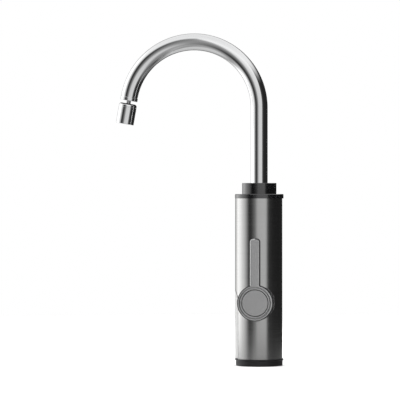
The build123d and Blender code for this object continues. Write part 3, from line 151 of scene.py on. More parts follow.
# %% Where the ceiling starts
# Degrees as before, and the height at which the ceiling starts, from -1 straight down to 1 straight up.
CEILING_STARTS = [(-180, 0.42), (-60, 0.42), (-16, 0.50), (2, -0.35), (34, -0.35), (48, 0.40), (180, 0.40)]


def compass_stops(stops, scale=1.0):
    """Stops by degrees, as places along a ramp that covers the full turn."""
    return [((angle + 180) / 360, value / scale) for angle, value in stops]


def compass_of(tree, source, output):
    """Nodes for the compass direction of a vector: its parts, and its share of the full turn."""
    turn = add_node(tree, "ShaderNodeMapping", vector_type="VECTOR")
    turn.inputs["Rotation"].default_value = (0, 0, math.radians(90) - CAMERA_AZIMUTH)
    parts = add_node(tree, "ShaderNodeSeparateXYZ")
    compass = add_node(tree, "ShaderNodeMath", operation="ARCTAN2")
    part_of_turn = add_node(tree, "ShaderNodeMapRange", inputs={1: -math.pi, 2: math.pi, 3: 0.0, 4: 1.0})
    join(tree, source, turn, output, "Vector")
    join(tree, turn, parts)
    join(tree, parts, compass, "Y", 0)
    join(tree, parts, compass, "X", 1)
    join(tree, compass, part_of_turn, 0, "Value")
    return parts, part_of_turn


# %% The world
world = bpy.data.worlds.new("studio")
bpy.context.scene.world = world
world.use_nodes = True
sky = world.node_tree
sky.nodes.clear()
direction = add_node(sky, "ShaderNodeTexCoord")
parts_xyz, share = compass_of(sky, direction, "Generated")

walls = add_node(sky, "ShaderNodeValToRGB")
set_ramp(walls, compass_stops(WALLS, WALL_SCALE))
bright_walls = add_node(sky, "ShaderNodeVectorMath", operation="SCALE", inputs={"Scale": WALL_SCALE})
join(sky, share, walls, 0, "Fac")
join(sky, walls, bright_walls, 0, 0)

# %% Ceiling and floor light of the world
CEILING_BLEND = 0.35                        # how far above its start the ceiling is fully there
HORIZON_BLEND = 0.12                        # it fades in over this height above the horizon
FLOOR_BEGINS, FLOOR_FULL = -0.38, -0.70     # the floor's light below the walls
# Brightness by height, for the ceiling and the floor: 0 is straight down, 1 is straight up.
BY_HEIGHT = [
    (0.0, 0.52), (0.10, 0.38), (0.20, 0.28), (0.35, 0.20), (0.5, 0.66), (0.6, 0.70), (0.7, 0.82), (0.78, 0.95),
    (0.9, 0.86), (1.0, 0.80),
]

ceiling_start = add_node(sky, "ShaderNodeValToRGB")
# A ramp holds nothing below zero, so the heights from -1 to 1 are kept in it as 0 to 1.
set_ramp(ceiling_start, compass_stops([(angle, (start + 1) / 2) for angle, start in CEILING_STARTS]))
start_height = add_node(sky, "ShaderNodeMapRange", inputs={3: -1.0, 4: 1.0})
above_start = add_node(sky, "ShaderNodeMath", operation="SUBTRACT")
ceiling_share = add_node(sky, "ShaderNodeMapRange", interpolation_type="SMOOTHSTEP",
                         inputs={1: 0.0, 2: CEILING_BLEND})
upper_half = add_node(sky, "ShaderNodeMapRange", inputs={1: 0.0, 2: HORIZON_BLEND})
ceiling_amount = add_node(sky, "ShaderNodeMath", operation="MULTIPLY")
floor_share = add_node(sky, "ShaderNodeMapRange", interpolation_type="SMOOTHSTEP",
                       inputs={1: FLOOR_BEGINS, 2: FLOOR_FULL})
height = add_node(sky, "ShaderNodeMapRange", inputs={1: -1.0, 2: 1.0})
by_height = add_node(sky, "ShaderNodeValToRGB")
set_ramp(by_height, BY_HEIGHT)
with_ceiling = add_node(sky, "ShaderNodeMix", data_type="RGBA")
with_floor = add_node(sky, "ShaderNodeMix", data_type="RGBA")
join(sky, share, ceiling_start, 0, "Fac")
join(sky, ceiling_start, start_height, 0, "Value")
join(sky, parts_xyz, above_start, "Z", 0)
join(sky, start_height, above_start, 0, 1)
join(sky, above_start, ceiling_share, 0, "Value")
join(sky, parts_xyz, upper_half, "Z", "Value")
join(sky, ceiling_share, ceiling_amount, 0, 0)
join(sky, upper_half, ceiling_amount, 0, 1)
join(sky, parts_xyz, floor_share, "Z", "Value")
join(sky, parts_xyz, height, "Z", "Value")
join(sky, height, by_height, 0, "Fac")
join(sky, ceiling_amount, with_ceiling, 0, "Factor")
join(sky, bright_walls, with_ceiling, 0, "A")
join(sky, by_height, with_ceiling, 0, "B")
join(sky, floor_share, with_floor, 0, "Factor")
join(sky, with_ceiling, with_floor, "Result", "A")
join(sky, by_height, with_floor, 0, "B")

# %% What the camera sees past the tap
studio_light = add_node(sky, "ShaderNodeBackground")
plain_white = add_node(sky, "ShaderNodeBackground", inputs={"Color": (1, 1, 1, 1), "Strength": 1.0})
ray = add_node(sky, "ShaderNodeLightPath")
either = add_node(sky, "ShaderNodeMixShader")
sky_output = add_node(sky, "ShaderNodeOutputWorld")
join(sky, with_floor, studio_light, "Result", "Color")
join(sky, ray, either, "Is Camera Ray", 0)
join(sky, studio_light, either, 0, 1)
join(sky, plain_white, either, 0, 2)
join(sky, either, sky_output, 0, "Surface")

# %% [markdown]
# ## The floor and its light
#
# The floor is a pale disc whose rim fades out, so no horizon line crosses the picture. It is clear from
# below, so that the underside of the tap can be looked at. One wide lamp above lights it almost to white.
# That lamp is kept out of reflections: on the chrome it would put a hard white patch where the real tap
# shows the soft ceiling.

# %% Floor
FLOOR_RADIUS, FLOOR_FADES, FLOOR_GONE = 1.6, 0.7, 1.55


def stage_disc(name, radius, height, vertices):
    """A flat disc that belongs to the studio, not to the tap; sizes in metres."""
    bpy.ops.object.select_all(action="DESELECT")
    bpy.ops.mesh.primitive_circle_add(vertices=vertices, radius=radius, fill_type="NGON", location=(0, 0, height))
    disc = bpy.context.object
    disc.name = name
    return disc


def away_from_tap(tree, near, far, **settings):
    """Nodes that run from one value to another between two distances from the tap."""
    place = add_node(tree, "ShaderNodeTexCoord")
    away = add_node(tree, "ShaderNodeVectorMath", operation="LENGTH")
    share = add_node(tree, "ShaderNodeMapRange", interpolation_type="SMOOTHSTEP", **settings)
    share.inputs[1].default_value, share.inputs[2].default_value = near, far
    join(tree, place, away, "Object")
    join(tree, away, share, "Value", "Value")
    return place, share


floor = stage_disc("floor", FLOOR_RADIUS, -0.0002, 96)
floor.visible_glossy = False
paint = bpy.data.materials.new("pale_floor")
paint.use_nodes = True
tree = paint.node_tree
bsdf = tree.nodes["Principled BSDF"]
bsdf.inputs["Base Color"].default_value = (0.93, 0.93, 0.93, 1)
bsdf.inputs["Roughness"].default_value = 0.9
bsdf.inputs["Specular IOR Level"].default_value = 0.1
place, fade = away_from_tap(tree, FLOOR_FADES, FLOOR_GONE, inputs={3: 1.0, 4: 0.0})
seen_from = add_node(tree, "ShaderNodeNewGeometry")
from_above = add_node(tree, "ShaderNodeMath", operation="SUBTRACT", inputs={0: 1.0})
cover = add_node(tree, "ShaderNodeMath", operation="MULTIPLY")
join(tree, seen_from, from_above, "Backfacing", 1)
join(tree, fade, cover, 0, 0)
join(tree, from_above, cover, 0, 1)
join(tree, cover, bsdf, 0, "Alpha")
floor.data.materials.append(paint)

# %% [markdown]
# What the tap reflects of the floor is a separate small disc that only reflections see. It is dimmer than
# the floor itself, because the exposure that makes the ground white would wash out the foot of the casing.
# A smooth floor repeats the walls behind it softly, so the disc is darker towards the dark ones.

# %% Floor as the metal sees it
FLOOR_TONES = [
    (-180, 0.58), (-150, 0.54), (-120, 0.56), (-100, 0.62), (-75, 0.60), (-60, 0.48), (-45, 0.32), (-33, 0.30),
    (-24, 0.42), (-16, 0.40), (-6, 0.27), (20, 0.23), (35, 0.19), (50, 0.13), (75, 0.11), (90, 0.13),
    (110, 0.14), (135, 0.16), (150, 0.26), (165, 0.45), (180, 0.58),
]
GLOW_RADIUS, GLOW_FADES, GLOW_GONE = 0.62, 0.30, 0.46

glow = stage_disc("floor_glow", GLOW_RADIUS, -0.0001, 64)
glow.visible_camera = glow.visible_diffuse = glow.visible_shadow = glow.visible_transmission = False
glow_paint = bpy.data.materials.new("floor_glow")
glow_paint.use_nodes = True
tree = glow_paint.node_tree
tree.nodes.clear()
place, fade = away_from_tap(tree, GLOW_FADES, GLOW_GONE)
tones = add_node(tree, "ShaderNodeValToRGB")
set_ramp(tones, compass_stops(FLOOR_TONES))
shine = add_node(tree, "ShaderNodeEmission")
join(tree, compass_of(tree, place, "Object")[1], tones, 0, "Fac")
join(tree, tones, shine, 0, "Color")
clear = add_node(tree, "ShaderNodeBsdfTransparent")
either_way = add_node(tree, "ShaderNodeMixShader")
glow_output = add_node(tree, "ShaderNodeOutputMaterial")
join(tree, fade, either_way, 0, 0)
join(tree, shine, either_way, 0, 1)
join(tree, clear, either_way, 0, 2)
join(tree, either_way, glow_output, 0, "Surface")
glow.data.materials.append(glow_paint)

# %% Lamp above
LAMP_WIDTH, LAMP_POWER, LAMP_HEIGHT = 2.4, 62.0, 2.2
lamp_data = bpy.data.lights.new("overhead", "AREA")
lamp_data.shape, lamp_data.size, lamp_data.energy = "DISK", LAMP_WIDTH, LAMP_POWER
overhead = bpy.data.objects.new("overhead", lamp_data)
bpy.context.scene.collection.objects.link(overhead)
overhead.location = (0, 0, LAMP_HEIGHT)
overhead.visible_camera = False
overhead.visible_glossy = False
print("floor radius", FLOOR_RADIUS, "m, lamp", LAMP_POWER, "W")

# %% [markdown]
# ## Finishes
#
# Each finish is one material. They all start from the same shader and differ in colour, in how sharp the
# reflection is, and in the fine structure of the surface. That structure is noise: stretched it becomes
# brushing, even and small it becomes moulded plastic, and large and faint it gives the slight unevenness
# of a polished tube. It reads object coordinates, which are metres here, so a scale of 1000 means a
# millimetre.

# %% Helpers for finishes
def new_finish(name, colour, metallic, roughness, **sockets):
    """A material with the main shader set; returns it with its node tree and shader."""
    made = bpy.data.materials.new(name)
    made.use_nodes = True
    shader = made.node_tree.nodes["Principled BSDF"]
    shader.inputs["Base Color"].default_value = (*colour, 1)
    shader.inputs["Metallic"].default_value = metallic
    shader.inputs["Roughness"].default_value = roughness
    for socket, value in sockets.items():
        shader.inputs[socket.replace("_", " ")].default_value = value
    made.diffuse_color = (*colour, 1)
    return made, made.node_tree, shader


def grain(tree, scale, detail=3.0, stretch=(1, 1, 1)):
    """Noise on object coordinates; stretch shortens it along an axis, for brushing."""
    where = add_node(tree, "ShaderNodeTexCoord")
    squeeze = add_node(tree, "ShaderNodeMapping")
    squeeze.inputs["Scale"].default_value = stretch
    noise = add_node(tree, "ShaderNodeTexNoise", inputs={"Scale": scale, "Detail": detail})
    join(tree, where, squeeze, "Object", "Vector")
    join(tree, squeeze, noise, 0, "Vector")
    return noise


def vary(tree, shader, noise, socket, low, high):
    """Lets a noise move one number of the shader between low and high."""
    spread = add_node(tree, "ShaderNodeMapRange", inputs={1: 0.3, 2: 0.7, 3: low, 4: high})
    join(tree, noise, spread, 0, "Value")
    join(tree, spread, shader, 0, socket)


def two_tone(tree, shader, amount, first, second):
    """Lets an amount from 0 to 1 take the colour from a first tone to a second one."""
    mixed = add_node(tree, "ShaderNodeMix", data_type="RGBA")
    mixed.inputs["A"].default_value = (*first, 1)
    mixed.inputs["B"].default_value = (*second, 1)
    join(tree, amount, mixed, 0, "Factor")
    join(tree, mixed, shader, "Result", "Base Color")
    return mixed


def tint(tree, shader, noise, dark, light):
    """Lets a noise move the colour between two close tones."""
    spread = add_node(tree, "ShaderNodeMapRange", inputs={1: 0.3, 2: 0.7, 3: 0.0, 4: 1.0})
    join(tree, noise, spread, 0, "Value")
    return two_tone(tree, shader, spread, dark, light)


def relief(tree, shader, noise, depth, strength=1.0):
    """Turns a noise into fine relief, depth in metres."""
    bump = add_node(tree, "ShaderNodeBump", inputs={"Strength": strength, "Distance": depth})
    join(tree, noise, bump, 0, "Height")
    join(tree, bump, shader, 0, "Normal")


finished = set()


def give(material, *names):
    """Puts one finish on parts of the frame, in place of what they came with."""
    for name in names:
        part = nodes[name]
        part.data.materials.clear()
        part.data.materials.append(material)
        finished.add(name)


# %% [markdown]
# ### Chrome
#
# The spout and the outlet head are chromed brass: a mirror with a very slight cold tone. A perfect mirror
# looks like a computer picture, so faint patches differ in sharpness, as on a tube wiped with a cloth.

# %% Chrome
chrome, tree, shader = new_finish("chrome", (0.93, 0.935, 0.94), 1.0, 0.05)
smears = grain(tree, 60.0, 4.0)
vary(tree, shader, smears, "Roughness", 0.08, 0.13)
give(chrome, "spout_tube", "spout_end_ring", "aerator_cap", "aerator_housing")

# %% Polished steel of the neck, toned down as painted shade
# The neck is steel, set darker than chrome to paint in the shade of the narrow gap round it.
steel_and_gap_shade, tree, shader = new_finish("polished_steel_and_gap_shade", (0.46, 0.46, 0.465), 1.0, 0.12)
lathe_marks = grain(tree, 250.0, 2.0, (0.3, 0.3, 12.0))
vary(tree, shader, lathe_marks, "Roughness", 0.09, 0.17)
give(steel_and_gap_shade, "ball_stud")

# %% [markdown]
# ### Brushed stainless steel
#
# The casing is a steel tube brushed round and round while it turned. Its scratches are horizontal, so a
# reflection stays sharp from side to side and is smeared up and down. Two things give that: the shader's
# own anisotropy, turned a quarter to the round tangent, and hairlines from noise that is squeezed in height.
# The cut edge of the window and the inside are painted near black, a painted shade that draws the panel's seam.

# %% Stainless casing
MM = 0.001
CASING_RADIUS, CASING_OFFSET = 28.25, 0.6
SEAM_SHADE_BELOW, STEEL_BEYOND = 27.9, 28.1

stainless, tree, shader = new_finish("brushed_stainless", (0.56, 0.56, 0.555), 1.0, 0.2,
                                     Anisotropic=0.6, Anisotropic_Rotation=0.25)
around = add_node(tree, "ShaderNodeTangent", direction_type="RADIAL", axis="Z")
join(tree, around, shader, 0, "Tangent")
hairlines = grain(tree, 90.0, 4.0, (0.25, 0.25, 40.0))
vary(tree, shader, hairlines, "Roughness", 0.16, 0.26)
steel = tint(tree, shader, hairlines, (0.54, 0.54, 0.535), (0.60, 0.60, 0.595))
from_axis = add_node(tree, "ShaderNodeVectorMath", operation="MULTIPLY_ADD",
                     inputs={1: (1, 1, 0), 2: (CASING_OFFSET * MM, 0, 0)})
radius = add_node(tree, "ShaderNodeVectorMath", operation="LENGTH")
outside = add_node(tree, "ShaderNodeMapRange", inputs={1: SEAM_SHADE_BELOW * MM, 2: STEEL_BEYOND * MM})
join(tree, add_node(tree, "ShaderNodeTexCoord"), from_axis, "Object", 0)
join(tree, from_axis, radius)
join(tree, radius, outside, "Value", "Value")
join(tree, outside, shader, 0, "Metallic")
# Painted shade: inside the window's edge the steel turns near black, so the seam shows as a dark gap.
seam_shade_or_steel = two_tone(tree, shader, outside, (0.012, 0.012, 0.013), (0.56, 0.56, 0.555))
join(tree, steel, seam_shade_or_steel, "Result", "B")
give(stainless, "casing_shell")

# %% [markdown]
# ### Handle, collar, base and panel
#
# The handle has a satin grey metallic face, even and quite soft. The collar and the flange are polished
# black, and the base ring is the same black with a satin surface. The panel in the casing is pale plastic
# with a fine moulded texture.

# %% Satin grey handle
handle_grey, tree, shader = new_finish("satin_grey", (0.66, 0.66, 0.662), 0.9, 0.21)
flakes = grain(tree, 2500.0, 2.0)
vary(tree, shader, flakes, "Roughness", 0.18, 0.25)
relief(tree, shader, flakes, 0.00002, 0.25)
give(handle_grey, "handle_lever", "handle_cap", "handle_boss")

# %% Polished black
gloss_black, tree, shader = new_finish("polished_black", (0.006, 0.006, 0.007), 0.0, 0.08,
                                       Specular_IOR_Level=1.0, Coat_Weight=1.0, Coat_Roughness=0.05)
waves = grain(tree, 45.0, 2.0)
vary(tree, shader, waves, "Roughness", 0.06, 0.12)
give(gloss_black, "top_flange", "spout_collar")

# %% Satin black
satin_black, tree, shader = new_finish("satin_black", (0.012, 0.012, 0.013), 0.0, 0.32)
fine = grain(tree, 1800.0, 3.0)
vary(tree, shader, fine, "Roughness", 0.26, 0.40)
relief(tree, shader, fine, 0.00003, 0.3)
give(satin_black, "base_ring")

# %% Pale panel
PALE, PLAIN_SHINE = (0.60, 0.60, 0.595), 0.5
pale_panel, tree, shader = new_finish("pale_panel", PALE, 0.0, 0.38)
fine = grain(tree, 1400.0, 3.0)
vary(tree, shader, fine, "Roughness", 0.33, 0.46)
relief(tree, shader, fine, 0.00002, 0.3)
give(pale_panel, "front_panel")

# %% Painted shade on the upper rim of the panel
# In the photograph the panel's seam is widest and darkest where it bends round the upper corner, so the last
# millimetre of the panel is painted dark and dull there as painted shade. The finish measures how far a point
# lies from the middle of the corner's curve, counting all between the corners and below them as no distance.
PANEL_HALF, PANEL_TOP, PANEL_CORNER, PANEL_GAP = 17.12, 92.0, 14.0, 0.4
CORNER_MIDDLE = (0, (PANEL_HALF - PANEL_CORNER) * MM, (PANEL_TOP - PANEL_CORNER) * MM)
PALE_WITHIN, DARK_BEYOND = PANEL_CORNER - 1.7, PANEL_CORNER - 1.4
PALE_BELOW, DARK_ABOVE = 79.0, 83.0

spot = add_node(tree, "ShaderNodeTexCoord")
folded = add_node(tree, "ShaderNodeVectorMath", operation="ABSOLUTE")
past_corner = add_node(tree, "ShaderNodeVectorMath", operation="SUBTRACT", inputs={1: CORNER_MIDDLE})
not_below = add_node(tree, "ShaderNodeVectorMath", operation="MAXIMUM")
across_and_up = add_node(tree, "ShaderNodeVectorMath", operation="MULTIPLY", inputs={1: (0, 1, 1)})
from_middle = add_node(tree, "ShaderNodeVectorMath", operation="LENGTH")
near_rim = add_node(tree, "ShaderNodeMapRange", inputs={1: PALE_WITHIN * MM, 2: DARK_BEYOND * MM})
spot_parts = add_node(tree, "ShaderNodeSeparateXYZ")
near_top = add_node(tree, "ShaderNodeMapRange", inputs={1: PALE_BELOW * MM, 2: DARK_ABOVE * MM})
painted_seam_shade = add_node(tree, "ShaderNodeMath", operation="MULTIPLY")
seam_shade_dull = add_node(tree, "ShaderNodeMapRange", inputs={3: PLAIN_SHINE, 4: 0.05})
join(tree, spot, folded, "Object")
join(tree, folded, past_corner)
join(tree, past_corner, not_below)
join(tree, not_below, across_and_up)
join(tree, across_and_up, from_middle)
join(tree, from_middle, near_rim, "Value", "Value")
join(tree, spot, spot_parts, "Object")
join(tree, spot_parts, near_top, "Z", "Value")
join(tree, near_rim, painted_seam_shade, 0, 0)
join(tree, near_top, painted_seam_shade, 0, 1)
# Painted shade: near the upper corners the rim turns near black and loses its shine.
two_tone(tree, shader, painted_seam_shade, PALE, (0.02, 0.02, 0.02))
join(tree, painted_seam_shade, seam_shade_dull, 0, "Value")
join(tree, seam_shade_dull, shader, 0, "Specular IOR Level")

# %% [markdown]
# ### What sits inside
#
# The inner parts show only from below, through a gap or when somebody takes the tap apart, but each has a
# real material all the same: turned brass for the water path, plated steel for the screws and rods, and
# moulded plastic, rubber, ceramic and a green board for the rest.

# %% Metals inside
brass, tree, shader = new_finish("turned_brass", (0.72, 0.53, 0.26), 1.0, 0.28)
turning = grain(tree, 110.0, 3.0, (0.3, 0.3, 20.0))
vary(tree, shader, turning, "Roughness", 0.2, 0.36)
tint(tree, shader, turning, (0.66, 0.48, 0.23), (0.76, 0.58, 0.30))
give(brass, "inlet_socket", "valve_body", "outlet_manifold", "spout_stem", "spindle", "cartridge_nut",
     "bypass_pipe", "heater_lid")

plated, tree, shader = new_finish("plated_steel", (0.60, 0.60, 0.61), 1.0, 0.3)
cloudy = grain(tree, 300.0, 3.0)
vary(tree, shader, cloudy, "Roughness", 0.22, 0.42)
give(plated, "inlet_filter", "base_screws", "tie_rods", "tie_nuts", "board_screws", "terminal_screws",
     "handle_screw", "heater_screws", "element_terminals", "cutout_bracket", "aerator_screen")

drawn, tree, shader = new_finish("drawn_tube", (0.42, 0.42, 0.42), 1.0, 0.38)
drawing = grain(tree, 200.0, 3.0)
tint(tree, shader, drawing, (0.36, 0.36, 0.37), (0.48, 0.47, 0.45))
give(drawn, "heating_element")

sintered, tree, shader = new_finish("sintered_magnet", (0.10, 0.10, 0.105), 0.6, 0.5)
grit = grain(tree, 3000.0, 3.0)
relief(tree, shader, grit, 0.00003, 0.4)
give(sintered, "float_magnet")

# %% Plastics, rubber and ceramic inside
natural, tree, shader = new_finish("natural_plastic", (0.80, 0.79, 0.75), 0.0, 0.45,
                                   Subsurface_Weight=0.1, Subsurface_Scale=0.002)
matt = grain(tree, 900.0, 3.0)
vary(tree, shader, matt, "Roughness", 0.38, 0.52)
give(natural, "board_bracket", "terminal_block", "supply_pipe", "reed_clip", "cartridge_sleeve",
     "lower_bush", "upper_bush", "ball_seat", "aerator_insert")

filled, tree, shader = new_finish("filled_plastic", (0.055, 0.055, 0.06), 0.0, 0.5)
fibres = grain(tree, 700.0, 4.0, (1, 1, 0.3))
tint(tree, shader, fibres, (0.045, 0.045, 0.05), (0.085, 0.085, 0.09))
relief(tree, shader, fibres, 0.00004, 0.4)
give(filled, "flow_float", "heater_cup", "thermal_cutout")

# Black rubber for the seals and washers; the same black is also put on other pieces as painted shade.
rubber_and_painted_shade, tree, shader = new_finish("black_rubber_and_painted_shade", (0.022, 0.022, 0.022), 0.0, 0.6, Specular_IOR_Level=0.15)
bloom = grain(tree, 500.0, 4.0)
vary(tree, shader, bloom, "Roughness", 0.5, 0.75)
relief(tree, shader, bloom, 0.00004, 0.4)
give(rubber_and_painted_shade, "base_seal", "cable_grommet", "supply_pipe_seals", "port_seal", "heater_lid_seal",
     "stem_o_rings", "aerator_washer")

lapped, tree, shader = new_finish("lapped_ceramic", (0.82, 0.81, 0.78), 0.0, 0.16)
speckle = grain(tree, 1500.0, 2.0)
tint(tree, shader, speckle, (0.78, 0.77, 0.74), (0.86, 0.85, 0.82))
give(lapped, "fixed_disc", "moving_disc")

# %% Board, display and reed glass
board_green, tree, shader = new_finish("solder_mask", (0.012, 0.11, 0.04), 0.0, 0.3)
tracks = add_node(tree, "ShaderNodeTexBrick", inputs={"Scale": 260.0, "Mortar Size": 0.03})
tracks.inputs["Color1"].default_value = (0.010, 0.10, 0.035, 1)
tracks.inputs["Color2"].default_value = (0.012, 0.12, 0.045, 1)
tracks.inputs["Mortar"].default_value = (0.03, 0.20, 0.08, 1)
where = add_node(tree, "ShaderNodeTexCoord")
join(tree, where, tracks, "Object", "Vector")
join(tree, tracks, shader, 0, "Base Color")
give(board_green, "display_board")

dark_window, tree, shader = new_finish("dark_window", (0.01, 0.01, 0.012), 0.0, 0.12)
haze = grain(tree, 200.0, 2.0)
vary(tree, shader, haze, "Roughness", 0.09, 0.18)
give(dark_window, "display_module")

clear_glass, tree, shader = new_finish("reed_glass", (0.88, 0.95, 0.92), 0.0, 0.05, Alpha=0.45)
bubbles = grain(tree, 2000.0, 2.0)
vary(tree, shader, bubbles, "Roughness", 0.03, 0.08)
give(clear_glass, "reed_switch")

print("parts without a finish:", sorted(set(nodes) - finished))

# %% [markdown]
# ## Modelling with soft edges
#
# On the real tap no outer edge is knife sharp. A polished or painted edge is rounded by a fraction of a
# millimetre, and that small rounding catches a thin line of light that the solids do not show. The parts
# that carry the look are therefore modelled again here, at the same size and place, with their edges
# rounded. Nearly all of them are round, so they could be spun from half a section. Building them ring by
# ring, by extruding a circle and scaling it, is just as exact and easier to follow.

# %% Helpers for modelling
def start_with(name, add, **settings):
    """Adds a primitive with nothing else selected, names it and opens it for editing."""
    bpy.ops.object.select_all(action="DESELECT")
    add(**settings)
    thing = bpy.context.object
    thing.name = thing.data.name = name
    bpy.ops.object.transform_apply(location=True, rotation=True, scale=True)
    bpy.ops.object.mode_set(mode="EDIT")
    bpy.ops.mesh.select_mode(type="VERT")
    return thing


def pick(thing, kind, test):
    """In edit mode, selects only the verts, edges or faces that pass a test; returns how many."""
    bpy.ops.mesh.select_mode(type=kind)
    bpy.ops.mesh.select_all(action="DESELECT")
    shape = bmesh.from_edit_mesh(thing.data)
    shape.normal_update()
    chosen = [e for e in {"VERT": shape.verts, "EDGE": shape.edges, "FACE": shape.faces}[kind] if test(e)]
    for element in chosen:
        element.select_set(True)
    bmesh.update_edit_mesh(thing.data)
    return len(chosen)


def pull(dx=0.0, dy=0.0, dz=0.0):
    """Extrudes what is selected and moves it, in millimetres."""
    bpy.ops.mesh.extrude_region_move(TRANSFORM_OT_translate={"value": (dx * MM, dy * MM, dz * MM)})


def widen(ratio):
    """Scales what is selected about the upright axis."""
    bpy.ops.transform.resize(value=(ratio, ratio, 1), center_override=(0, 0, 0))


def round_off(width, segments=4):
    """Rounds the selected edges by a width in millimetres."""
    bpy.ops.mesh.bevel(offset=width * MM, offset_type="OFFSET", segments=segments, profile=0.5, affect="EDGES")


def on_ring(radius, height):
    """A test for the edges of the ring at a radius and height, in millimetres."""
    def at(vert):
        return abs(vert.co.xy.length - radius * MM) < 2e-5 and abs(vert.co.z - height * MM) < 1e-5
    return lambda edge: at(edge.verts[0]) and at(edge.verts[1])


def turned(name, outline, soft=(), sides=96):
    """A ring-shaped solid from a closed outline of (radius, height), with some corners rounded."""
    radius, height = outline[0]
    thing = start_with(name, bpy.ops.mesh.primitive_circle_add, vertices=sides, radius=radius * MM,
                       location=(0, 0, height * MM))
    bpy.ops.mesh.select_all(action="SELECT")
    for next_radius, next_height in list(outline[1:]) + [outline[0]]:
        bpy.ops.mesh.extrude_edges_move(TRANSFORM_OT_translate={"value": (0, 0, (next_height - height) * MM)})
        widen(next_radius / radius)
        radius, height = next_radius, next_height
    bpy.ops.mesh.select_all(action="SELECT")
    bpy.ops.mesh.remove_doubles(threshold=1e-6)
    bpy.ops.mesh.normals_make_consistent(inside=False)
    for corner_radius, corner_height, width in soft:
        pick(thing, "EDGE", on_ring(corner_radius, corner_height))
        round_off(width)
    return thing


def apply_last(thing, kind, **settings):
    """Adds one modifier, sets it and applies it."""
    modifier = thing.modifiers.new(kind.lower(), kind)
    for name, value in settings.items():
        setattr(modifier, name, value)
    bpy.ops.object.modifier_apply(modifier=modifier.name)


def stand(thing, turn=(0, 0, 0), place=(0, 0, 0)):
    """Closes the piece, shades it and sets it at its place, with the place kept in its mesh."""
    bpy.ops.object.mode_set(mode="OBJECT")
    bpy.ops.object.shade_smooth_by_angle(angle=math.radians(35))
    apply_last(thing, "WEIGHTED_NORMAL", keep_sharp=True, weight=60)
    thing.rotation_euler = [math.radians(angle) for angle in turn]
    thing.location = [c * MM for c in place]
    bpy.ops.object.transform_apply(location=True, rotation=True, scale=True)


def second_finish(thing, material, test):
    """Gives the faces that pass a test a second finish; returns how many."""
    thing.data.materials.append(material)
    chosen = [face for face in thing.data.polygons if test(face)]
    for face in chosen:
        face.material_index = len(thing.data.materials) - 1
    return len(chosen)


def in_place_of(thing, node, body, material):
    """Dresses a finished piece and lets it stand for a part of the frame."""
    thing.data.materials.clear()
    thing.data.materials.append(material)
    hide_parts(node)
    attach(thing, body)
    inside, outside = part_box(node)
    corners = [thing.matrix_world @ vert.co for vert in thing.data.vertices]
    low = [min(c[i] for c in corners) for i in range(3)]
    high = [max(c[i] for c in corners) for i in range(3)]
    off = max(abs(a - b) for a, b in zip(low + high, [*inside, *outside]))
    print(thing.name, "faces:", len(thing.data.polygons), "off the solid's box by", round(off * 1000, 2), "mm")


# %% [markdown]
# ### The gooseneck
#
# The spout is one bent tube of 20.2 mm: a straight run up from the collar and then an arc of 170 degrees.
# It is drawn as a ring that is extruded up the straight and spun round the centre of the bend, then given
# its wall. A curve with a round bevel would also do, but the spin keeps every ring square to the tube.

# %% Gooseneck
TUBE_RADIUS, TUBE_WALL = 10.1, 1.0
BEND_RADIUS, BEND_HEIGHT, BEND_SWEEP = 79.6, 308.6, 170.0
TUBE_FOOT = 213.95
SIDES_ROUND, STEPS_ALONG = 96, 112

gooseneck = start_with("gooseneck", bpy.ops.mesh.primitive_circle_add, vertices=SIDES_ROUND,
                       radius=TUBE_RADIUS * MM, location=(0, 0, TUBE_FOOT * MM))
bpy.ops.mesh.select_all(action="SELECT")
bpy.ops.mesh.extrude_edges_move(TRANSFORM_OT_translate={"value": (0, 0, (BEND_HEIGHT - TUBE_FOOT) * MM)})
bpy.ops.mesh.spin(steps=STEPS_ALONG, angle=math.radians(BEND_SWEEP), axis=(0, 1, 0),
                  center=(-BEND_RADIUS * MM, 0, BEND_HEIGHT * MM))
bpy.ops.mesh.select_all(action="SELECT")
bpy.ops.mesh.remove_doubles(threshold=1e-6)
bpy.ops.mesh.normals_make_consistent(inside=False)
bpy.ops.object.mode_set(mode="OBJECT")
apply_last(gooseneck, "SOLIDIFY", thickness=TUBE_WALL * MM, offset=-1, use_even_offset=True)
stand(gooseneck)
in_place_of(gooseneck, "spout_tube", "spout", chrome)

# %% [markdown]
# ### The collar
#
# The black nut at the foot of the spout is turned from bar. Its upper edge is broken just enough to show a
# fine light line against the spout, and the bore is wider below, where the threaded neck stands in it.

# %% Collar
COLLAR_RADIUS, COLLAR_FOOT, COLLAR_TOP = 20.6, 205.2, 218.4
NECK_BORE, LIP_BORE, LIP_UNDERSIDE = 13.05, 10.4, 216.0

collar = turned("spout_nut", [
    (NECK_BORE, COLLAR_FOOT), (COLLAR_RADIUS, COLLAR_FOOT), (COLLAR_RADIUS, COLLAR_TOP),
    (LIP_BORE, COLLAR_TOP), (LIP_BORE, LIP_UNDERSIDE), (NECK_BORE, LIP_UNDERSIDE),
], soft=[(COLLAR_RADIUS, COLLAR_TOP, 0.4), (LIP_BORE, COLLAR_TOP, 0.3), (COLLAR_RADIUS, COLLAR_FOOT, 0.2)], sides=128)
stand(collar)
in_place_of(collar, "spout_collar", "tap", gloss_black)

# %% [markdown]
# ### The outlet head
#
# Under the spout's end sit a chromed ring and a thin neck with a ball, and on the ball hangs the aerator: a
# cap ring with a rounded shoulder and a straight housing, with a fine seam between them. All of them share
# the axis of the spout's end, which leans ten degrees. They are turned upright round the zero axis, with
# heights counted down from the end of the tube, and then leaned and moved there together.

# %% Where the spout ends
LEAN = 180 - BEND_SWEEP
END_TURN = (0, LEAN, 0)
END_PLACE = (-BEND_RADIUS + BEND_RADIUS * math.cos(math.radians(BEND_SWEEP)), 0,
             BEND_HEIGHT + BEND_RADIUS * math.sin(math.radians(BEND_SWEEP)))
print("the tube ends at", [round(c, 2) for c in END_PLACE])

# %% End ring
RING_RADIUS, RING_TOP, RING_END, STUD_BORE = 10.4, -0.4, -4.5, 3.45
PLUG_RADIUS, PLUG_TOP, SHIM_RADIUS = 8.95, 8.0, 9.5

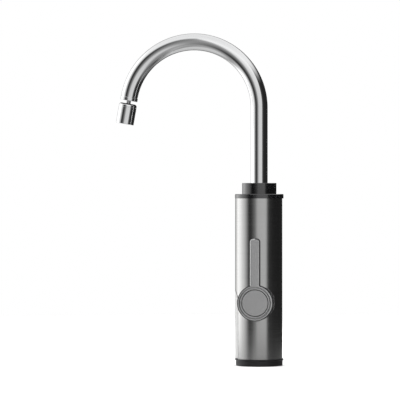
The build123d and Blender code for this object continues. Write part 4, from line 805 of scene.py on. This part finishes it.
end_ring = turned("end_ring", [
    (STUD_BORE, PLUG_TOP), (PLUG_RADIUS, PLUG_TOP), (PLUG_RADIUS, 0.0), (SHIM_RADIUS, 0.0),
    (SHIM_RADIUS, RING_TOP), (RING_RADIUS, RING_TOP), (RING_RADIUS, RING_END), (STUD_BORE, RING_END),
], soft=[(RING_RADIUS, RING_TOP, 0.5), (RING_RADIUS, RING_END, 0.5), (PLUG_RADIUS, PLUG_TOP, 0.4)])
stand(end_ring, END_TURN, END_PLACE)
in_place_of(end_ring, "spout_end_ring", "spout", chrome)

# %% Neck and ball
BALL_RADIUS, BALL_DEPTH, BALL_FLAT = 6.8, 15.5, -5.5
WATER_WAY, STUD_RADIUS, NECK_RADIUS = 1.6, 3.4, 2.65


def round_the_ball(radius, degrees):
    """A point of the outline on a ball about the swivel's centre, by its angle from straight up."""
    angle = math.radians(degrees)
    return radius * math.sin(angle), radius * math.cos(angle) - BALL_DEPTH


ball_outline = [(WATER_WAY, PLUG_TOP), (STUD_RADIUS, PLUG_TOP), (STUD_RADIUS, RING_END), (NECK_RADIUS, RING_END)]
ball_outline += [round_the_ball(BALL_RADIUS, degrees) for degrees in range(24, 145, 6)]
ball_outline.append((BALL_RADIUS * math.sin(math.acos(BALL_FLAT / BALL_RADIUS)), BALL_FLAT - BALL_DEPTH))
ball_outline.append((WATER_WAY, BALL_FLAT - BALL_DEPTH))
neck_and_ball = turned("neck_and_ball", ball_outline, sides=64)
stand(neck_and_ball, END_TURN, END_PLACE)
in_place_of(neck_and_ball, "ball_stud", "spout", steel_and_gap_shade)

# %% Cap ring of the outlet head
HEAD_RADIUS, HEAD_TOP, CAP_END = 10.7, -8.0, -12.1
SHOULDER, SOCKET_RADIUS, SOCKET_MOUTH, SCREWED_IN = 2.9, 8.25, 5.2, 9.4

cap_outline = [(SOCKET_MOUTH, HEAD_TOP), (HEAD_RADIUS - SHOULDER, HEAD_TOP)]
for degrees in range(15, 91, 15):
    angle = math.radians(degrees)
    cap_outline.append((HEAD_RADIUS - SHOULDER * (1 - math.sin(angle)),
                        HEAD_TOP - SHOULDER * (1 - math.cos(angle))))
cap_outline += [(HEAD_RADIUS, CAP_END), (SCREWED_IN, CAP_END), (SCREWED_IN, -BALL_DEPTH)]
cap_outline += [round_the_ball(SOCKET_RADIUS, degrees) for degrees in (90, 78, 66, 54, 42)]
cap_ring = turned("outlet_cap_ring", cap_outline, soft=[(HEAD_RADIUS, CAP_END, 0.2), (SOCKET_MOUTH, HEAD_TOP, 0.3)])
stand(cap_ring, END_TURN, END_PLACE)
in_place_of(cap_ring, "aerator_cap", "head", chrome)

# %% Painted reflection on the top
# In the photograph a fine dark line runs across the cap just below the neck, so its top round the ball is
# painted black: a painted reflection of the dark underside of the end ring. The faces that look up along the
# leaning axis are found by their normals, down to well round the shoulder.
UP_THE_AXIS = Vector((math.sin(math.radians(LEAN)), 0, math.cos(math.radians(LEAN))))


def takes_painted_reflection(face):
    return face.normal.dot(UP_THE_AXIS) > 0.55


print("dark top faces:", second_finish(cap_ring, rubber_and_painted_shade, takes_painted_reflection))

# %% Housing of the outlet head
HOUSING_TOP, HEAD_END = -12.35, -33.0
BORE, BORE_TOP, STEP_BORE, THREAD_BORE = 8.8, -22.4, 6.9, 9.45

housing = turned("outlet_housing", [
    (STEP_BORE, -18.9), (8.35, -15.6), (THREAD_BORE, -15.5), (THREAD_BORE, HOUSING_TOP),
    (HEAD_RADIUS, HOUSING_TOP), (HEAD_RADIUS, HEAD_END), (BORE, HEAD_END), (BORE, BORE_TOP), (STEP_BORE, BORE_TOP),
], soft=[(HEAD_RADIUS, HOUSING_TOP, 0.2), (HEAD_RADIUS, HEAD_END, 0.6), (BORE, HEAD_END, 0.35)])
stand(housing, END_TURN, END_PLACE)
in_place_of(housing, "aerator_housing", "head", chrome)

# %% [markdown]
# ### The handle
#
# The handle is a round hub with a flat arm, and a thin cap let into the hub's face. The light on its
# rounded front edge is what makes it look like a cast piece with a grey face; its sides are painted black,
# as painted shade. It is built lying on its back with the arm along the second axis, and then stood up to
# face the front. The arm grows out of the hub's side faces, which are pulled out, pressed flat and narrowed
# in steps to the round corners of the tip. An arm joined on as a second block would need a boolean and leave
# long thin faces just where the light is watched.

# %% Hub
HUB_RADIUS, HUB_BACK, FACE_PLANE, ARM_PLANE = 21.5, 32.5, 40.0, 34.5
HALF_ARM, ARM_REACH, TIP_CORNER = 5.9, 76.2, 3.8
HANDLE_HEIGHT = 75.9
POCKET_RADIUS, POCKET_FLOOR = 18.9, 36.8
DRIVE_RADIUS, DRIVE_BACK, SCREW_HOLE = 6.5, 28.2, 2.15

lever = turned("lever", [
    (SCREW_HOLE, DRIVE_BACK), (DRIVE_RADIUS, DRIVE_BACK), (DRIVE_RADIUS, HUB_BACK), (HUB_RADIUS, HUB_BACK),
    (HUB_RADIUS, ARM_PLANE), (HUB_RADIUS, FACE_PLANE), (POCKET_RADIUS, FACE_PLANE), (POCKET_RADIUS, POCKET_FLOOR),
    (SCREW_HOLE, POCKET_FLOOR),
], soft=[(HUB_RADIUS, HUB_BACK, 0.4), (POCKET_RADIUS, FACE_PLANE, 0.3)], sides=90)

# %% Arm
ROOT_ANGLE = math.radians(16)  # half of the arm's share of the hub's side


def under_arm(face):
    middle = face.calc_center_median()
    far_out = middle.y > (HUB_RADIUS - 0.5) * MM * math.cos(ROOT_ANGLE) and face.normal.y > 0.9
    return far_out and middle.z > ARM_PLANE * MM and abs(middle.x) < HALF_ARM * MM


def width_at_corner(degrees):
    """Half the arm's width where the corner of its tip has turned by an angle."""
    return HALF_ARM - TIP_CORNER * (1 - math.cos(math.radians(degrees)))


print("side faces under the arm:", pick(lever, "FACE", under_arm))
half_width = HUB_RADIUS * math.sin(ROOT_ANGLE)
reach = ARM_REACH - TIP_CORNER
pull(dy=reach - HUB_RADIUS)
bpy.ops.transform.resize(value=(HALF_ARM / half_width, 0, 1), center_override=(0, reach * MM, 0))
for degrees in range(10, 91, 10):
    next_reach = ARM_REACH - TIP_CORNER * (1 - math.sin(math.radians(degrees)))
    ratio = width_at_corner(degrees) / width_at_corner(degrees - 10)
    pull(dy=next_reach - reach)
    bpy.ops.transform.resize(value=(ratio, 1, 1), center_override=(0, 0, 0))
    reach = next_reach
print("arm reaches", round(reach, 2), "mm above the lever's axis")

# %% Rounded front edge
# The front of the arm is made one face first: across the strips it was pulled in, the rounding would fold.
def on_face_plane(edge):
    return all(abs(vert.co.z - FACE_PLANE * MM) < 1e-6 for vert in edge.verts)


def in_front_of_arm(edge):
    near_arm = all(abs(vert.co.x) < (HALF_ARM + 0.1) * MM and vert.co.y > 15 * MM for vert in edge.verts)
    return on_face_plane(edge) and near_arm and edge.calc_face_angle(0) < 0.1


print("lines cleared from the arm's front:", pick(lever, "EDGE", in_front_of_arm))
bpy.ops.mesh.dissolve_edges(use_verts=False)


def on_front_rim(edge):
    outside = all(vert.co.xy.length > (HUB_RADIUS - 0.1) * MM for vert in edge.verts)
    return on_face_plane(edge) and outside and edge.calc_face_angle(0) > 0.5


print("front rim edges:", pick(lever, "EDGE", on_front_rim))
round_off(1.3, 5)
stand(lever, (90, 0, 0), (0, 0, HANDLE_HEIGHT))
in_place_of(lever, "handle_lever", "handle", handle_grey)

# %% Painted shade on the sides
# Only the face is grey: the sides and the wall of the pocket are painted black, as painted shade. The grey
# runs round the left edge of the arm, where the photograph shows a light line.
def in_painted_side_shade(face):
    lit_edge = face.center.x < 0 and face.center.z > (HANDLE_HEIGHT + HUB_RADIUS) * MM
    return abs(face.normal.y) < (0.3 if lit_edge else 0.93) and face.center.y < -(HUB_BACK + 0.2) * MM


print("dark faces on the sides:", second_finish(lever, rubber_and_painted_shade, in_painted_side_shade))

# %% Cap of the handle
# A turned piece can't reach its own axis, so two small rings are left in the middle, one in front and one
# behind, and each is drawn together into a point.
CAP_RADIUS, GROOVE_OUTER, GROOVE_WIDTH, GROOVE_DEPTH, GROOVE_SLOPE = 17.8, 16.2, 0.9, 1.2, 0.1
GROOVE_INNER, GROOVE_FLOOR = GROOVE_OUTER - GROOVE_WIDTH, FACE_PLANE - GROOVE_DEPTH
WELL_RADIUS, WELL_FLOOR, SMALL_RING = 3.8, POCKET_FLOOR + 1.95, 0.5

cap = turned("handle_centre_cap", [
    (WELL_RADIUS, POCKET_FLOOR), (CAP_RADIUS, POCKET_FLOOR), (CAP_RADIUS, FACE_PLANE), (GROOVE_OUTER, FACE_PLANE),
    (GROOVE_OUTER - GROOVE_SLOPE, GROOVE_FLOOR), (GROOVE_INNER + GROOVE_SLOPE, GROOVE_FLOOR),
    (GROOVE_INNER, FACE_PLANE), (SMALL_RING, FACE_PLANE), (SMALL_RING, WELL_FLOOR), (WELL_RADIUS, WELL_FLOOR),
], soft=[(CAP_RADIUS, FACE_PLANE, 0.35), (GROOVE_OUTER, FACE_PLANE, 0.15), (GROOVE_INNER, FACE_PLANE, 0.15)])
for in_front in (True, False):
    pick(cap, "VERT", lambda vert: (vert.co.xy.length < (SMALL_RING + 0.1) * MM
                                    and (vert.co.z > (FACE_PLANE - 0.1) * MM) == in_front))
    bpy.ops.mesh.merge(type="CENTER")
stand(cap, (90, 0, 0), (0, 0, HANDLE_HEIGHT))
in_place_of(cap, "handle_cap", "handle", handle_grey)


# Painted shade: the groove and the side of the cap are black, so the groove and the gap round the cap read dark.
def in_painted_line_shade(face):
    across = math.hypot(face.center.x, face.center.z - HANDLE_HEIGHT * MM)
    groove = GROOVE_INNER * MM < across < GROOVE_OUTER * MM and face.center.y > -(FACE_PLANE - 0.1) * MM
    side = across > (CAP_RADIUS - 0.2) * MM and abs(face.normal.y) < 0.5
    return groove or side


print("dark faces in the groove and round the cap:", second_finish(cap, rubber_and_painted_shade, in_painted_line_shade))

# %% [markdown]
# ### The front panel
#
# The pale panel is a piece of the same round wall as the casing, cut out with two round upper corners. Its
# outline is drawn flat, as a plate with two corners rounded, and pushed through a turned tube: what both
# have in common is the panel. A wider piece of a smaller tube makes the rim that holds it from behind.
# Bending a flat plate would also give the curve, but the cut keeps the panel exactly flush with the casing.
# Its edge is rounded and painted black, as painted shade, so that a dark seam is seen along it.

# %% Panel
PANEL_INNER, PANEL_BOTTOM = 27.0, 8.45
RIM_OUTER, RIM_INNER, RIM_BOTTOM, RIM_MARGIN = 27.4, 26.3, 14.15, 1.5
WALL_FOOT, WALL_TOP = 5, 100        # the tubes are longer than the panel at both ends
PLATE_LEFT, PLATE_THICK = -40, 35   # and the plates go right through their left wall


def panel_plate(margin, bottom):
    """A thick plate with the panel's outline, grown by a margin, standing across the left wall."""
    half, top = PANEL_HALF + margin, PANEL_TOP + margin
    middle = (PLATE_LEFT * MM, 0, (top + bottom) / 2 * MM)
    plate = start_with("plate", bpy.ops.mesh.primitive_plane_add, size=1, location=middle,
                       rotation=(0, math.radians(-90), 0))
    bpy.ops.mesh.select_all(action="SELECT")
    bpy.ops.transform.resize(value=(1, 2 * half * MM, (top - bottom) * MM), center_override=middle)
    pick(plate, "VERT", lambda vert: vert.co.z > (top - 1) * MM)
    bpy.ops.mesh.bevel(offset=(PANEL_CORNER + margin) * MM, segments=14, affect="VERTICES")
    bpy.ops.mesh.select_all(action="SELECT")
    pull(dx=PLATE_THICK)
    bpy.ops.mesh.select_all(action="SELECT")
    bpy.ops.mesh.normals_make_consistent(inside=False)
    bpy.ops.object.mode_set(mode="OBJECT")
    return plate


def common_with(thing, other, operation="INTERSECT"):
    """Cuts or joins a piece with a second one, which is used up."""
    bpy.context.view_layer.objects.active = thing
    apply_last(thing, "BOOLEAN", operation=operation, object=other, solver="EXACT")
    bpy.data.objects.remove(other)


def wall(name, outer, inner):
    """A turned tube round the casing's own axis."""
    tube = turned(name, [(outer, WALL_FOOT), (outer, WALL_TOP), (inner, WALL_TOP), (inner, WALL_FOOT)], sides=192)
    bpy.ops.mesh.select_all(action="SELECT")
    bpy.ops.transform.translate(value=(-CASING_OFFSET * MM, 0, 0))
    bpy.ops.object.mode_set(mode="OBJECT")
    return tube


rim = wall("rim", RIM_OUTER, RIM_INNER)
common_with(rim, panel_plate(RIM_MARGIN, RIM_BOTTOM))
panel = wall("front_cover", CASING_RADIUS, PANEL_INNER)
common_with(panel, panel_plate(-PANEL_GAP, PANEL_BOTTOM))
bpy.ops.object.mode_set(mode="EDIT")
bpy.ops.mesh.select_all(action="SELECT")
bpy.ops.mesh.remove_doubles(threshold=2e-6)


def on_outer_rim(edge):
    def out(vert):
        return math.hypot(vert.co.x + CASING_OFFSET * MM, vert.co.y) > (CASING_RADIUS - 0.02) * MM
    return out(edge.verts[0]) and out(edge.verts[1]) and edge.calc_face_angle(0) > 0.6


print("panel's outer rim edges:", pick(panel, "EDGE", on_outer_rim))
round_off(0.5, 3)
bpy.ops.object.mode_set(mode="OBJECT")
common_with(panel, rim, "UNION")
stand(panel)
in_place_of(panel, "front_panel", "tap", pale_panel)


# Painted shade: the panel's edge and the rim behind it are black, so the seam shows as a dark gap.
def in_painted_seam_shade(face):
    out = Vector((face.center.x + CASING_OFFSET * MM, face.center.y, 0))
    return out.length < (CASING_RADIUS - 0.7) * MM or abs(face.normal.dot(out.normalized())) < 0.975


print("dark faces at the seam:", second_finish(panel, rubber_and_painted_shade, in_painted_seam_shade))
